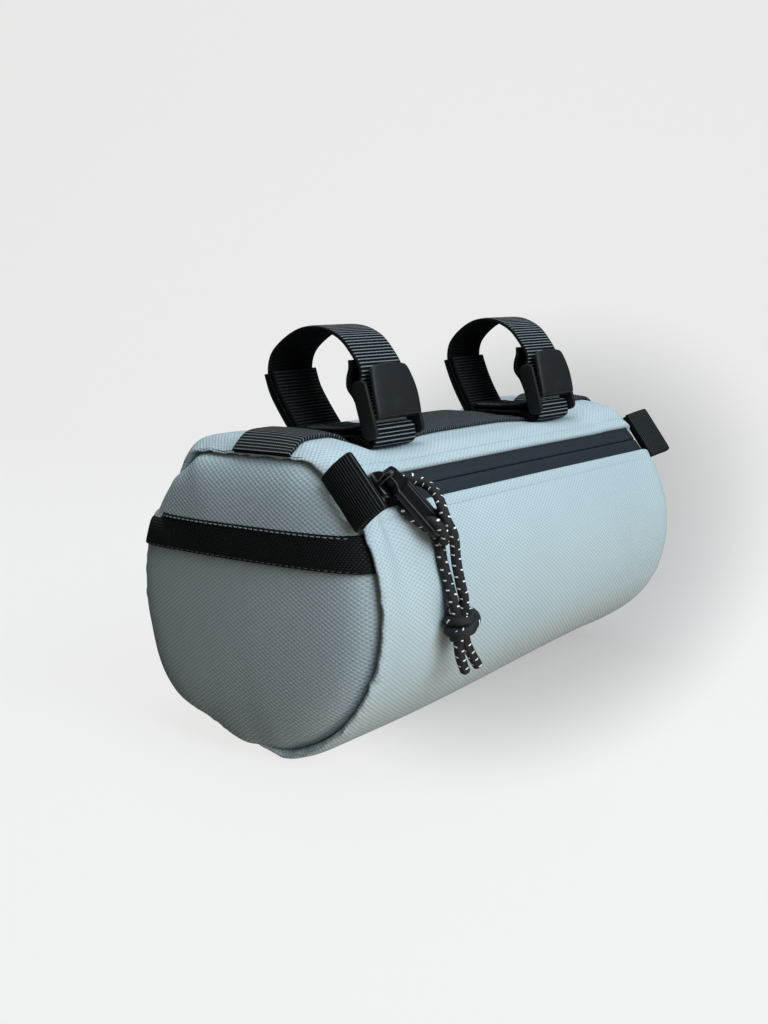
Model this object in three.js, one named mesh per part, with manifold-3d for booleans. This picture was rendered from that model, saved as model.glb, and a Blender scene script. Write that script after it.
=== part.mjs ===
// Handlebar bag: a barrel of coated cloth with a flat top, closed by a zip along its front shoulder.
// Two webbing loops with cam buckles stand on the top and hold the bag on a handlebar.
// Millimetres. X runs along the barrel, the zip side looks along -Y, Z is up.
import * as THREE from "three";
import { mergeVertices } from "three/addons/utils/BufferGeometryUtils.js";
import Module from "manifold-3d";

const wasm = await Module();
wasm.setup();

// Driving dimensions
const GAP = 0.3; // between pieces that touch
const BODY_LENGTH = 212; // from end seam to end seam
const BODY_RADIUS = 59; // barrel between its ends
const SEAM_RADIUS = 55; // barrel at the end seams
const LIP_LENGTH = 8; // stretch over which the barrel rounds down to a seam
const LIP_POWER = 2.5; // how late in that stretch it falls
const AXIS_HEIGHT = 57; // barrel axis above the surface that the bag rests on
const TOP_HEIGHT = 107; // flat top
const TOP_DROP = 1.5; // fall of the flat top to the end seams
const CLOTH = 2; // coated cloth with its backing
const CORNER_SHARPNESS = 24; // exponent that rounds the edges of the flat top
const SIDE_RISE = 0.2; // sine of the angle past which the flat top or the resting face can cut the barrel

const ZIP_LOWER_EDGE = 34.3; // degrees above the front
const ZIP_UPPER_EDGE = 49;
const ZIP_UNDERLAP = 6; // degrees of tape behind each cloth edge
const ZIP_TAPE = 1.2;
const ZIP_SEAT = 1; // tape below the inside of the cloth
const ZIP_HALF_LENGTH = 102;

const END_BULGE = 5; // crown of an end panel
const END_INSET = 1.5; // panel rim behind the end seam
const BAND = { bottom: 71.5, top: 83.5, front: -44.5, back: 44.5, thickness: 1.4 };
const TOP_WEBBING = { front: -19.5, back: 6, thickness: 1.4, seat: 0.6 }; // seat above the cloth

const LOOP_SPACING = 113.5; // between the middles of the two straps
const STRAP_WIDTH = 25;
const LOOP_OUTSIDE = LOOP_SPACING / 2 + STRAP_WIDTH / 2 + 1.25;
const LOOP_INSIDE = LOOP_SPACING / 2 - STRAP_WIDTH / 2 - 0.75;
const STRAP = 1.3;
const BUCKLE_BAR = { y: -23.5, z: 112, radius: 1.6 }; // lower bar of the buckle frame
const BUCKLE_TILT = 16.5; // degrees that the buckle leans back
const RAIL = { inner: 13.1, thickness: 1.6, bottom: -2.8, top: 18.5, back: -0.6, front: 5.9, round: 2.4 };
const BACK_BAR = { up: 8, out: 0.5, radius: 0.9 };
const LEVER = { bottom: 4, top: 22.8, width: 25.6, topWidth: 20.5, out: 5.5, thickness: 2.4, round: 3 };
const CAM = { up: 12.5, out: 4.5, radius: 2.4, width: 23.8 };
const WRAP = { start: -180, end: -275 }; // degrees between which the front anchor lies round the lower bar

const TAB = { width: 22, length: 14, thickness: 1.5, spread: 1.1 };
// Where each tab leaves its end seam, the angle that its edge follows, and its way along X and outwards
const TABS = [
  { name: "zip_tab_left", x: -107.2, angle: 41, radius: 56.2, edge: 41, lean: { x: 0, out: 1 } },
  { name: "zip_tab_right", x: 106.9, angle: 42.9, radius: 56.3, edge: 36, lean: { x: 0.96, out: 0.28 } },
];

const SLIDER = { x: -88.6, angle: 42.4, length: 8.5, width: 10.5, low: 57.1, high: 62.2 };
const SLIDER_POST = { radius: 1.2, high: 68.6, cap: 2.1, capThickness: 1 };
const PULLER = { width: 9.4, neck: 6, thickness: 2.6, eye: 2.2, eyeInset: 4.6, postHole: 1.9 };
const PULLER_BOSS = { inset: 4.2, aside: 5, radius: 3.2 }; // round ear beside the eye
const PULLER_TAPER = { from: 0.08, to: 0.18 }; // shares of its length over which the neck widens
const PULLER_START = { x: -88.6, angle: 42.4, radius: 65.7 };
const PULLER_END = { x: -76.7, angle: 21.5, radius: 65.4 };

const CORD = 3.6; // elastic cord
const KNOT = { x: -71.8, angle: -6, radius: 65, width: 12.5, depth: 10, height: 13 };

// Dents and swells of the barrel's cloth, each a smooth bump of the given reach along and round the barrel
const CLOTH_FORMS = [
  { name: "fold by the zip's end", x: -91, angle: 15, reachX: 8, reachAngle: 14, height: -2.2, power: 2 },
  { name: "swell of the front", x: 10, angle: 5, reachX: 70, reachAngle: 40, height: 1, power: 2 },
  { name: "dip by the left buckle", x: -57, angle: 65, reachX: 16, reachAngle: 8, height: -1.5, power: 2 },
  { name: "dip by the right buckle", x: 57, angle: 65, reachX: 16, reachAngle: 8, height: -1.5, power: 2 },
  { name: "swell between the loops", x: 0, angle: 97, reachX: 35, reachAngle: 26, height: 3.5, power: 6 },
  { name: "left swell of the top", x: -91, angle: 92, reachX: 14.5, reachAngle: 36, height: 6, power: 4 },
  { name: "right swell of the top", x: 91, angle: 92, reachX: 14.5, reachAngle: 36, height: 6, power: 4 },
];

// Middle line of each strap, from its rear end over the loop and down to the buckle
const STRAP_LINES = {
  left: [
    { y: 9.8, z: 110.6 },
    { y: 15.6, z: 118.3 },
    { y: 20.1, z: 125.3 },
    { y: 22.5, z: 132.0 },
    { y: 20.9, z: 138.6 },
    { y: 14.4, z: 144.5 },
    { y: 6.0, z: 148.3 },
    { y: -3.3, z: 148.5 },
    { y: -11.5, z: 145.2 },
    { y: -17.3, z: 139.2 },
    { y: -20.2, z: 134.6 },
  ],
  right: [
    { y: 8.8, z: 110.8 },
    { y: 13.4, z: 118.4 },
    { y: 16.8, z: 125.4 },
    { y: 19.3, z: 132.0 },
    { y: 18.3, z: 138.4 },
    { y: 13.0, z: 144.3 },
    { y: 5.6, z: 148.3 },
    { y: -3.4, z: 148.8 },
    { y: -11.6, z: 145.4 },
    { y: -17.4, z: 139.2 },
    { y: -20.2, z: 134.6 },
  ],
};
// Strap behind the lever, and its tail back up from the buckle
const STRAP_IN_BUCKLE = [
  { up: 18.2, out: 2.0 },
  { up: 12.5, out: 0.9 },
];
const STRAP_TAIL = [
  { y: -17.6, z: 124.2 },
  { y: -14.8, z: 127.8 },
  { y: -14.7, z: 131.2 },
  { y: -15.6, z: 134.6 },
  { y: -15.6, z: 137.6 },
];
// Front anchor from its sewn end on the top webbing, down in front of that webbing and up to the lower bar,
// and from there back over itself towards the rear anchor
const FRONT_FOOT = [
  { y: 4.0, z: 109.9 },
  { y: -10.0, z: 109.9 },
  { y: -17.5, z: 109.9 },
  { y: -21.6, z: 108.2 },
  { y: -24.2, z: 107.3 },
  { y: -26.2, z: 108.8 },
];
const FRONT_RETURN = [
  { y: -16.5, z: 113.2 },
  { y: -9.0, z: 112.4 },
  { y: -2.0, z: 112.1 },
  { y: 2.4, z: 112.0 },
  { y: 5.2, z: 112.3 },
];
const ANCHOR_ROWS = 4; // rows from the rear end that lie between the two leaves of the rear anchor

// Route of the pull cord from the knot up the left strand, round the puller's neck and down on the right
const CORD_ROUTE = [
  { x: -74.1, angle: 0.5, radius: 63.4 },
  { x: -73.8, angle: 6.0, radius: 61.6 },
  { x: -75.0, angle: 13.6, radius: 61.3 },
  { x: -74.4, angle: 17.9, radius: 61.2 },
  { x: -74.0, angle: 21.2, radius: 61.2 },
  { x: -76.6, angle: 24.2, radius: 61.2 },
  { x: -79.8, angle: 26.7, radius: 61.2 },
  { x: -82.6, angle: 28.9, radius: 61.2 },
  { x: -84.6, angle: 31.0, radius: 61.2 },
  { x: -85.3, angle: 33.2, radius: 61.2 },
  { x: -83.9, angle: 35.6, radius: 61.0 },
  { x: -82.2, angle: 38.6, radius: 60.8 },
  { x: -80.6, angle: 41.2, radius: 60.8 },
  { x: -78.0, angle: 42.7, radius: 61.2 },
  { x: -74.5, angle: 42.4, radius: 62.0 },
  { x: -71.8, angle: 40.0, radius: 62.8 },
  { x: -71.4, angle: 37.0, radius: 64.6 },
  { x: -73.3, angle: 33.2, radius: 67.0 },
  { x: -75.8, angle: 29.8, radius: 68.6 },
  { x: -76.9, angle: 27.0, radius: 69.0 },
  { x: -77.3, angle: 24.4, radius: 69.2 },
  { x: -76.0, angle: 21.3, radius: 69.0 },
  { x: -74.3, angle: 18.5, radius: 67.4 },
  { x: -73.0, angle: 15.6, radius: 65.8 },
  { x: -72.7, angle: 12.6, radius: 65.2 },
  { x: -72.0, angle: 6.0, radius: 65.2 },
  { x: -70.1, angle: 0.5, radius: 65.0 },
];
const CORD_TAILS = {
  cord_tail_left: [
    { x: -72.9, y: -64.6, z: 43.2 },
    { x: -71.2, y: -64.2, z: 38.0 },
    { x: -67.6, y: -63.8, z: 32.0 },
  ],
  cord_tail_right: [
    { x: -68.6, y: -64.6, z: 43.2 },
    { x: -65.0, y: -64.4, z: 38.0 },
    { x: -60.4, y: -64.2, z: 32.6 },
  ],
};

// Finishes
const finish = (color, roughness, metalness = 0) => () =>
  new THREE.MeshStandardMaterial({ color, roughness, metalness });
const CLOTH_FINISH = finish(0xa9bcc4, 0.55);
const WEBBING_FINISH = finish(0x17181a, 0.85);
const TAPE_FINISH = finish(0x23282d, 0.6);
const PLASTIC_FINISH = finish(0x131417, 0.5);
const GLOSS_FINISH = finish(0x0d0d0e, 0.25);
const CORD_FINISH = finish(0x151516, 0.75);

const radians = THREE.MathUtils.degToRad;
const lerp = THREE.MathUtils.lerp;

// Barrel

// Distance from the axis to the barrel's outside at x and at an angle (degrees above the front)
function barrelRadius(x, angle) {
  const lip = Math.max(0, (Math.abs(x) - (BODY_LENGTH / 2 - LIP_LENGTH)) / LIP_LENGTH);
  const round = BODY_RADIUS - (BODY_RADIUS - SEAM_RADIUS) * lip ** LIP_POWER;
  const rise = Math.sin(radians(angle));
  let radius = round;
  if (rise > SIDE_RISE) {
    const flat = (TOP_HEIGHT - TOP_DROP * lip ** LIP_POWER - AXIS_HEIGHT) / rise;
    radius = (round ** -CORNER_SHARPNESS + flat ** -CORNER_SHARPNESS) ** (-1 / CORNER_SHARPNESS);
  }
  for (const form of CLOTH_FORMS) {
    const turn = ((((angle - form.angle + 180) % 360) + 360) % 360) - 180;
    const { power } = form;
    const away = Math.abs((x - form.x) / form.reachX) ** power + Math.abs(turn / form.reachAngle) ** power;
    radius += form.height * Math.exp(-away) * (1 - lip ** 2);
  }
  if (rise < -SIDE_RISE) radius = Math.min(radius, AXIS_HEIGHT / -rise);
  return radius;
}

const aroundAxis = (x, angle, radius) =>
  new THREE.Vector3(x, -radius * Math.cos(radians(angle)), AXIS_HEIGHT + radius * Math.sin(radians(angle)));

const onBarrel = (x, angle, depth) => aroundAxis(x, angle, barrelRadius(x, angle) - depth);

// Stations from the first to the last value, with a number of steps between each two
function stations(rows) {
  const values = [rows[0].at];
  for (let i = 1; i < rows.length; i++) {
    const { at, steps } = rows[i];
    for (let s = 1; s <= steps; s++) values.push(lerp(rows[i - 1].at, at, s / steps));
  }
  return values;
}

// Closed wall between two grids of points that share their rows and columns
function wall(columns, rows, outside, inside) {
  const points = [];
  const place = (face) => columns.map((u) => rows.map((v) => points.push(face(u, v)) - 1));
  const [out, inn] = [place(outside), place(inside)];
  const triangles = [];
  const quad = (a, b, c, d) => triangles.push(a, b, c, a, c, d);
  const [lastU, lastV] = [columns.length - 1, rows.length - 1];
  for (let i = 0; i < lastU; i++) {
    for (let j = 0; j < lastV; j++) {
      quad(out[i][j], out[i + 1][j], out[i + 1][j + 1], out[i][j + 1]);
      quad(inn[i][j], inn[i][j + 1], inn[i + 1][j + 1], inn[i + 1][j]);
    }
    quad(out[i][0], inn[i][0], inn[i + 1][0], out[i + 1][0]);
    quad(out[i][lastV], out[i + 1][lastV], inn[i + 1][lastV], inn[i][lastV]);
  }
  for (let j = 0; j < lastV; j++) {
    quad(out[0][j], out[0][j + 1], inn[0][j + 1], inn[0][j]);
    quad(out[lastU][j], inn[lastU][j], inn[lastU][j + 1], out[lastU][j + 1]);
  }
  const geometry = new THREE.BufferGeometry().setFromPoints(points);
  geometry.setIndex(triangles);
  return outwards(geometry);
}

// Turns a closed mesh so that its faces point out
function outwards(geometry) {
  const at = geometry.getAttribute("position");
  const index = geometry.getIndex();
  const [a, b, c] = [new THREE.Vector3(), new THREE.Vector3(), new THREE.Vector3()];
  let volume = 0;
  for (let i = 0; i < index.count; i += 3) {
    a.fromBufferAttribute(at, index.getX(i));
    b.fromBufferAttribute(at, index.getX(i + 1));
    c.fromBufferAttribute(at, index.getX(i + 2));
    volume += a.dot(b.cross(c));
  }
  if (volume < 0) {
    for (let i = 0; i < index.count; i += 3) {
      const second = index.getX(i + 1);
      index.setX(i + 1, index.getX(i + 2));
      index.setX(i + 2, second);
    }
  }
  return geometry;
}

const bag = new THREE.Group();
const pull = new THREE.Group();

function add(name, geometry, material, group = bag) {
  const mesh = new THREE.Mesh(geometry, material());
  mesh.name = name;
  group.add(mesh);
  return mesh;
}

const END = BODY_LENGTH / 2;
const LIP_START = END - LIP_LENGTH;

// Stations along the barrel: close together over the lips and the swells of the top
const ALONG = stations([
  { at: -END },
  { at: -LIP_START, steps: 3 },
  { at: -LOOP_OUTSIDE, steps: 4 },
  { at: -LOOP_INSIDE, steps: 2 },
  { at: LOOP_INSIDE, steps: 4 },
  { at: LOOP_OUTSIDE, steps: 2 },
  { at: LIP_START, steps: 4 },
  { at: END, steps: 3 },
]);

// Stations from the lower zip edge down the front, under, up the back and over the top to the upper edge
const REST_ANGLE = THREE.MathUtils.radToDeg(Math.acos(AXIS_HEIGHT / BODY_RADIUS));
const SHOULDER = { back: -230, front: -310 };
const ROUND = stations([
  { at: ZIP_LOWER_EDGE },
  { at: -90 + REST_ANGLE, steps: 12 },
  { at: -90 - REST_ANGLE, steps: 3 },
  { at: SHOULDER.back, steps: 11 },
  { at: SHOULDER.front, steps: 13 },
  { at: ZIP_UPPER_EDGE - 360, steps: 1 },
]);

function makeBody() {
  const geometry = wall(
    ALONG,
    ROUND,
    (x, angle) => onBarrel(x, angle, 0),
    (x, angle) => onBarrel(x, angle, CLOTH),
  );
  add("body_panel", geometry, CLOTH_FINISH);
}

// Ends

// Outline radius of an end panel and its crown, for one end
const panelEdge = (angle) => barrelRadius(END, angle) - CLOTH - GAP;

function panelFace(side, share, angle, depth) {
  const radius = panelEdge(angle) * share;
  const point = aroundAxis(0, angle, radius);
  point.x = side * (END - END_INSET + END_BULGE * (1 - share ** 2.4) - depth);
  return point;
}

function makeEnds() {
  const shares = [1, 0.93, 0.82, 0.66, 0.45, 0.22, 0.02];
  const angles = stations([{ at: 0 }, { at: 360, steps: 40 }]);
  for (const [name, side] of [["left", -1], ["right", 1]]) {
    const points = [];
    const ring = (share, depth) =>
      angles.slice(0, -1).map((angle) => points.push(panelFace(side, share, angle, depth)) - 1);
    const rings = (depth) => shares.map((share) => ring(share, depth));
    const [out, inn] = [rings(0), rings(CLOTH)];
    const triangles = [];
    const quad = (a, b, c, d) => triangles.push(a, b, c, a, c, d);
    const count = angles.length - 1;
    for (let j = 0; j < count; j++) {
      const k = (j + 1) % count;
      for (let i = 0; i < shares.length - 1; i++) {
        quad(out[i][j], out[i][k], out[i + 1][k], out[i + 1][j]);
        quad(inn[i][j], inn[i + 1][j], inn[i + 1][k], inn[i][k]);
      }
      quad(out[0][j], inn[0][j], inn[0][k], out[0][k]);
    }
    for (const [face, flip] of [[out, false], [inn, true]]) {
      const hub = points.push(panelFace(side, 0, 0, flip ? CLOTH : 0)) - 1;
      const last = face[shares.length - 1];
      for (let j = 0; j < count; j++) {
        const k = (j + 1) % count;
        triangles.push(...(flip ? [hub, last[k], last[j]] : [hub, last[j], last[k]]));
      }
    }
    const geometry = new THREE.BufferGeometry().setFromPoints(points);
    geometry.setIndex(triangles);
    add(`end_panel_${name}`, outwards(geometry), CLOTH_FINISH);
    makeEndBand(name, side);
  }
}

// Band of webbing that follows the crown of an end panel
function makeEndBand(name, side) {
  const across = stations([{ at: BAND.front }, { at: BAND.back, steps: 14 }]);
  const heights = stations([{ at: BAND.bottom }, { at: BAND.top, steps: 2 }]);
  const face = (lift) => (y, z) => {
    const angle = THREE.MathUtils.radToDeg(Math.atan2(z - AXIS_HEIGHT, -y));
    const share = Math.min(1, Math.hypot(y, z - AXIS_HEIGHT) / panelEdge(angle));
    return new THREE.Vector3(panelFace(side, share, angle, -lift).x, y, z);
  };
  add(`end_band_${name}`, wall(across, heights, face(GAP + BAND.thickness), face(GAP)), WEBBING_FINISH);
}

// Webbing along the top, lying on the barrel
function makeTopWebbing() {
  const across = stations([{ at: TOP_WEBBING.front }, { at: TOP_WEBBING.back, steps: 5 }]);
  const top = ROUND.filter((angle) => angle <= SHOULDER.back && angle >= SHOULDER.front);
  const face = (lift) => (x, y) => {
    const cloth = top.map((angle) => onBarrel(x, angle, 0));
    const after = cloth.findIndex((point) => point.y <= y);
    const [from, to] = [cloth[after - 1], cloth[after]];
    return new THREE.Vector3(x, y, lerp(from.z, to.z, (y - from.y) / (to.y - from.y)) + lift);
  };
  const { seat, thickness } = TOP_WEBBING;
  const geometry = wall(ALONG, across, face(seat + thickness), face(seat));
  add("top_webbing", geometry, WEBBING_FINISH);
}

// Zip

function makeZipTapes() {
  const middle = (ZIP_LOWER_EDGE + ZIP_UPPER_EDGE) / 2;
  const halfGap = THREE.MathUtils.radToDeg(GAP / 2 / BODY_RADIUS);
  const along = stations([
    { at: -ZIP_HALF_LENGTH },
    { at: -LIP_START, steps: 2 },
    { at: LIP_START, steps: 14 },
    { at: ZIP_HALF_LENGTH, steps: 2 },
  ]);
  const halves = [
    ["zip_tape_lower", ZIP_LOWER_EDGE - ZIP_UNDERLAP, middle - halfGap],
    ["zip_tape_upper", middle + halfGap, ZIP_UPPER_EDGE + ZIP_UNDERLAP],
  ];
  for (const [name, from, to] of halves) {
    const round = stations([{ at: from }, { at: to, steps: 3 }]);
    const face = (depth) => (x, angle) => onBarrel(x, angle, CLOTH + ZIP_SEAT + depth);
    add(name, wall(along, round, face(0), face(ZIP_TAPE)), TAPE_FINISH);
  }
}

// Frame on the barrel: first axis along X, third axis outwards
function tangentFrame(x, angle, radius) {
  const out = aroundAxis(0, angle, 1).sub(aroundAxis(0, angle, 0));
  const along = new THREE.Vector3(1, 0, 0);
  const matrix = new THREE.Matrix4().makeBasis(along, out.clone().cross(along), out);
  return matrix.setPosition(aroundAxis(x, angle, radius));
}

// Booleans

function toSolid(geometry) {
  const bare = geometry.clone();
  bare.deleteAttribute("normal");
  bare.deleteAttribute("uv");
  const merged = mergeVertices(bare, 1e-4);
  return new wasm.Manifold(
    new wasm.Mesh({
      numProp: 3,
      vertProperties: new Float32Array(merged.getAttribute("position").array),
      triVerts: new Uint32Array(merged.getIndex().array),
    }),
  );
}

function toGeometry(solid) {
  const mesh = solid.getMesh();
  const geometry = new THREE.BufferGeometry();
  geometry.setAttribute("position", new THREE.BufferAttribute(new Float32Array(mesh.vertProperties), 3));
  geometry.setIndex(Array.from(mesh.triVerts));
  return geometry;
}

const join = (...shapes) => toGeometry(shapes.map(toSolid).reduce((all, one) => all.add(one)));

function roundedRectangle(left, bottom, right, top, round) {
  const shape = new THREE.Shape();
  shape.moveTo(left + round, bottom);
  shape.lineTo(right - round, bottom);
  shape.absarc(right - round, bottom + round, round, -Math.PI / 2, 0);
  shape.lineTo(right, top - round);
  shape.absarc(right - round, top - round, round, 0, Math.PI / 2);
  shape.lineTo(left + round, top);
  shape.absarc(left + round, top - round, round, Math.PI / 2, Math.PI);
  shape.lineTo(left, bottom + round);
  shape.absarc(left + round, bottom + round, round, Math.PI, Math.PI * 1.5);
  return shape;
}

const extrude = (shape, depth, curveSegments = 4) =>
  new THREE.ExtrudeGeometry(shape, { depth, bevelEnabled: false, curveSegments });

function rod(radius, length, sides = 12) {
  return new THREE.CylinderGeometry(radius, radius, length, sides);
}

function makeSlider() {
  const foot = extrude(
    roundedRectangle(-SLIDER.length / 2, -SLIDER.width / 2, SLIDER.length / 2, SLIDER.width / 2, 2.5),
    SLIDER.high - SLIDER.low,
  );
  const postLength = SLIDER_POST.high - SLIDER.high + 1;
  const post = rod(SLIDER_POST.radius, postLength)
    .rotateX(Math.PI / 2)
    .translate(0, 0, SLIDER_POST.high - SLIDER.low - postLength / 2);
  const cap = rod(SLIDER_POST.cap, SLIDER_POST.capThickness)
    .rotateX(Math.PI / 2)
    .translate(0, 0, SLIDER_POST.high - SLIDER.low);
  add("zip_slider", join(foot, post, cap), GLOSS_FINISH).applyMatrix4(
    tangentFrame(SLIDER.x, SLIDER.angle, SLIDER.low),
  );
}

// Tongue from the slider's post to a ring eye, lying slanted on the barrel
function makePuller() {
  const start = aroundAxis(PULLER_START.x, PULLER_START.angle, PULLER_START.radius);
  const end = aroundAxis(PULLER_END.x, PULLER_END.angle, PULLER_END.radius);
  const length = start.distanceTo(end);
  const half = PULLER.width / 2;
  const neck = PULLER.neck / 2;
  const shape = new THREE.Shape();
  shape.moveTo(0, -neck);
  shape.lineTo(length * PULLER_TAPER.from, -neck);
  shape.lineTo(length * PULLER_TAPER.to, -half);
  shape.lineTo(length - half, -half);
  shape.absarc(length - half, 0, half, -Math.PI / 2, Math.PI / 2);
  shape.lineTo(length * PULLER_TAPER.to, half);
  shape.lineTo(length * PULLER_TAPER.from, neck);
  shape.lineTo(0, neck);
  shape.absarc(0, 0, neck, Math.PI / 2, Math.PI * 1.5);
  const eyeAt = length - PULLER.eyeInset;
  for (const [at, radius] of [[0, PULLER.postHole], [eyeAt, PULLER.eye]]) {
    shape.holes.push(new THREE.Path().absarc(at, 0, radius, 0, Math.PI * 2, true));
  }
  const along = end.clone().sub(start).normalize();
  const middle = (PULLER_START.angle + PULLER_END.angle) / 2;
  const out = aroundAxis(0, middle, 1).sub(aroundAxis(0, middle, 0));
  const across = out.clone().cross(along).normalize();
  const face = along.clone().cross(across);
  const ear = new THREE.Shape();
  ear.absarc(length - PULLER_BOSS.inset, PULLER_BOSS.aside, PULLER_BOSS.radius, 0, Math.PI * 2);
  const geometry = join(extrude(shape, PULLER.thickness, 6), extrude(ear, PULLER.thickness, 10));
  geometry.translate(0, 0, -PULLER.thickness / 2);
  add("zip_puller", geometry, PLASTIC_FINISH).applyMatrix4(
    new THREE.Matrix4().makeBasis(along, across, face).setPosition(start),
  );
}

// Cord

const regular = (sides, radius) =>
  new THREE.Shape(
    Array.from({ length: sides }, (_, i) => {
      const turn = (i / sides) * Math.PI * 2;
      return new THREE.Vector2(Math.cos(turn) * radius, Math.sin(turn) * radius);
    }),
  );

function tube(points, steps) {
  const path = new THREE.CatmullRomCurve3(points, false, "centripetal");
  return new THREE.ExtrudeGeometry(regular(8, CORD / 2), { steps, extrudePath: path, bevelEnabled: false });
}

function makeCord() {
  const route = CORD_ROUTE.map(({ x, angle, radius }) => aroundAxis(x, angle, radius));
  add("pull_cord", tube(route, 40), CORD_FINISH, pull);
  for (const [name, rows] of Object.entries(CORD_TAILS)) {
    add(name, tube(rows.map(({ x, y, z }) => new THREE.Vector3(x, y, z)), 4), CORD_FINISH, pull);
  }
  const ball = new THREE.SphereGeometry(0.5, 14, 10).rotateX(Math.PI / 2);
  const knot = ball.scale(KNOT.width, KNOT.depth, KNOT.height);
  const middle = aroundAxis(KNOT.x, KNOT.angle, KNOT.radius);
  add("pull_knot", knot.translate(middle.x, middle.y, middle.z), CORD_FINISH, pull);
}

// Webbing

// Band that follows a line in a plane: the line is thickened by the webbing and drawn out to the width
function ribbon(line, thickness, width) {
  const side = (sign) =>
    line.map((point, i) => {
      const before = line[Math.max(0, i - 1)];
      const after = line[Math.min(line.length - 1, i + 1)];
      const along = after.clone().sub(before).normalize();
      return new THREE.Vector2(-along.y, along.x).multiplyScalar((sign * thickness) / 2).add(point);
    });
  const shape = new THREE.Shape([...side(1), ...side(-1).reverse()]);
  return extrude(shape, width).translate(0, 0, -width / 2);
}

const smooth = (points, steps) => new THREE.SplineCurve(points).getSpacedPoints(steps);

const arc = (centre, radius, from, to, steps) =>
  Array.from({ length: steps + 1 }, (_, i) => {
    const turn = radians(lerp(from, to, i / steps));
    return new THREE.Vector2(centre.x + radius * Math.cos(turn), centre.y + radius * Math.sin(turn));
  });

// The plane of a loop: shape x to Y, shape y to Z, drawn out along X
const loopPlane = (x) =>
  new THREE.Matrix4()
    .makeBasis(new THREE.Vector3(0, 1, 0), new THREE.Vector3(0, 0, 1), new THREE.Vector3(1, 0, 0))
    .setPosition(x, 0, 0);

const plane = ({ y, z }) => new THREE.Vector2(y, z);

// Buckle axes in the loop's plane: up along the lever, out from the loop
const BUCKLE_UP = new THREE.Vector2(Math.sin(radians(BUCKLE_TILT)), Math.cos(radians(BUCKLE_TILT)));
const BUCKLE_OUT = new THREE.Vector2(-BUCKLE_UP.y, BUCKLE_UP.x);
const inBuckle = (up, out) =>
  plane(BUCKLE_BAR).addScaledVector(BUCKLE_UP, up).addScaledVector(BUCKLE_OUT, out);

const TURN_RADIUS = BACK_BAR.radius + GAP + STRAP / 2;

function strapLine(rows) {
  const backBar = inBuckle(BACK_BAR.up, BACK_BAR.out);
  const upAngle = 90 - BUCKLE_TILT;
  const down = STRAP_IN_BUCKLE.map(({ up, out }) => inBuckle(up, out));
  const turn = arc(backBar, TURN_RADIUS, upAngle + 90, upAngle + 270, 8);
  const upper = smooth([...rows.map(plane), ...down, turn[0]], 34);
  const tail = smooth([turn[8], ...STRAP_TAIL.map(plane)], 10);
  return [...upper.slice(0, -1), ...turn, ...tail.slice(1)];
}

// Folded webbing with one leaf on each side of the strap's rear end and its fold below it
function rearAnchorLine(strapRows) {
  const rows = strapRows.slice(0, ANCHOR_ROWS).map(plane);
  const spread = STRAP + 2 * GAP;
  const leaf = (sign) =>
    rows.map((point, i) => {
      const after = rows[Math.min(rows.length - 1, i + 1)];
      const along = after.clone().sub(rows[Math.max(0, i - 1)]).normalize();
      return new THREE.Vector2(along.y, -along.x).multiplyScalar(sign * spread).add(point);
    });
  const first = rows[1].clone().sub(rows[0]).normalize();
  const foot = rows[0].clone().addScaledVector(first, -GAP);
  const away = THREE.MathUtils.radToDeg(Math.atan2(-first.x, first.y));
  return [...leaf(1).reverse(), ...arc(foot, spread, away, away - 180, 8), ...leaf(-1)];
}

// Webbing lying on the top band, brought round the buckle's lower bar and back
function frontAnchorLine() {
  const wrap = BUCKLE_BAR.radius + GAP + STRAP / 2;
  const round = arc(plane(BUCKLE_BAR), wrap, WRAP.start, WRAP.end, 10);
  const foot = smooth([...FRONT_FOOT.map(plane), round[0]], 13);
  const back = smooth([round[10], ...FRONT_RETURN.map(plane)], 12);
  return [...foot.slice(0, -1), ...round, ...back.slice(1)];
}

function buckleFrame() {
  const rail = roundedRectangle(RAIL.back, RAIL.bottom, RAIL.front, RAIL.top, RAIL.round);
  const across = 2 * (RAIL.inner + RAIL.thickness);
  const sides = [-RAIL.inner - RAIL.thickness, RAIL.inner].map((from) =>
    extrude(rail, RAIL.thickness).translate(0, 0, from),
  );
  const bar = (radius, out, up) => rod(radius, across - 0.4).rotateX(Math.PI / 2).translate(out, up, 0);
  return join(...sides, bar(BUCKLE_BAR.radius, 0, 0), bar(BACK_BAR.radius, BACK_BAR.out, BACK_BAR.up));
}

// Plate in front of the rails, a little narrower and rounded at its top, with a cam towards the strap
function buckleLever() {
  const [half, top] = [LEVER.width / 2, LEVER.topWidth / 2];
  const shape = new THREE.Shape();
  shape.moveTo(-half, LEVER.bottom);
  shape.lineTo(half, LEVER.bottom);
  shape.lineTo(half, LEVER.top - 4 * LEVER.round);
  shape.bezierCurveTo(half, LEVER.top - LEVER.round, top, LEVER.top, top - LEVER.round, LEVER.top);
  shape.lineTo(-top + LEVER.round, LEVER.top);
  shape.bezierCurveTo(-top, LEVER.top, -half, LEVER.top - LEVER.round, -half, LEVER.top - 4 * LEVER.round);
  const plate = extrude(shape, LEVER.thickness, 5).rotateY(Math.PI / 2).translate(LEVER.out, 0, 0);
  const cam = rod(CAM.radius, CAM.width).rotateX(Math.PI / 2).translate(CAM.out, CAM.up, 0);
  return join(plate, cam);
}

// Buckle shapes have x out from the loop, y up along the lever and z along the bar
function bucklePlane(x) {
  const direction = (v) => new THREE.Vector3(0, v.x, v.y);
  const [out, up] = [direction(BUCKLE_OUT), direction(BUCKLE_UP)];
  const matrix = new THREE.Matrix4().makeBasis(out, up, out.clone().cross(up));
  return matrix.setPosition(x, BUCKLE_BAR.y, BUCKLE_BAR.z);
}

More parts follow.
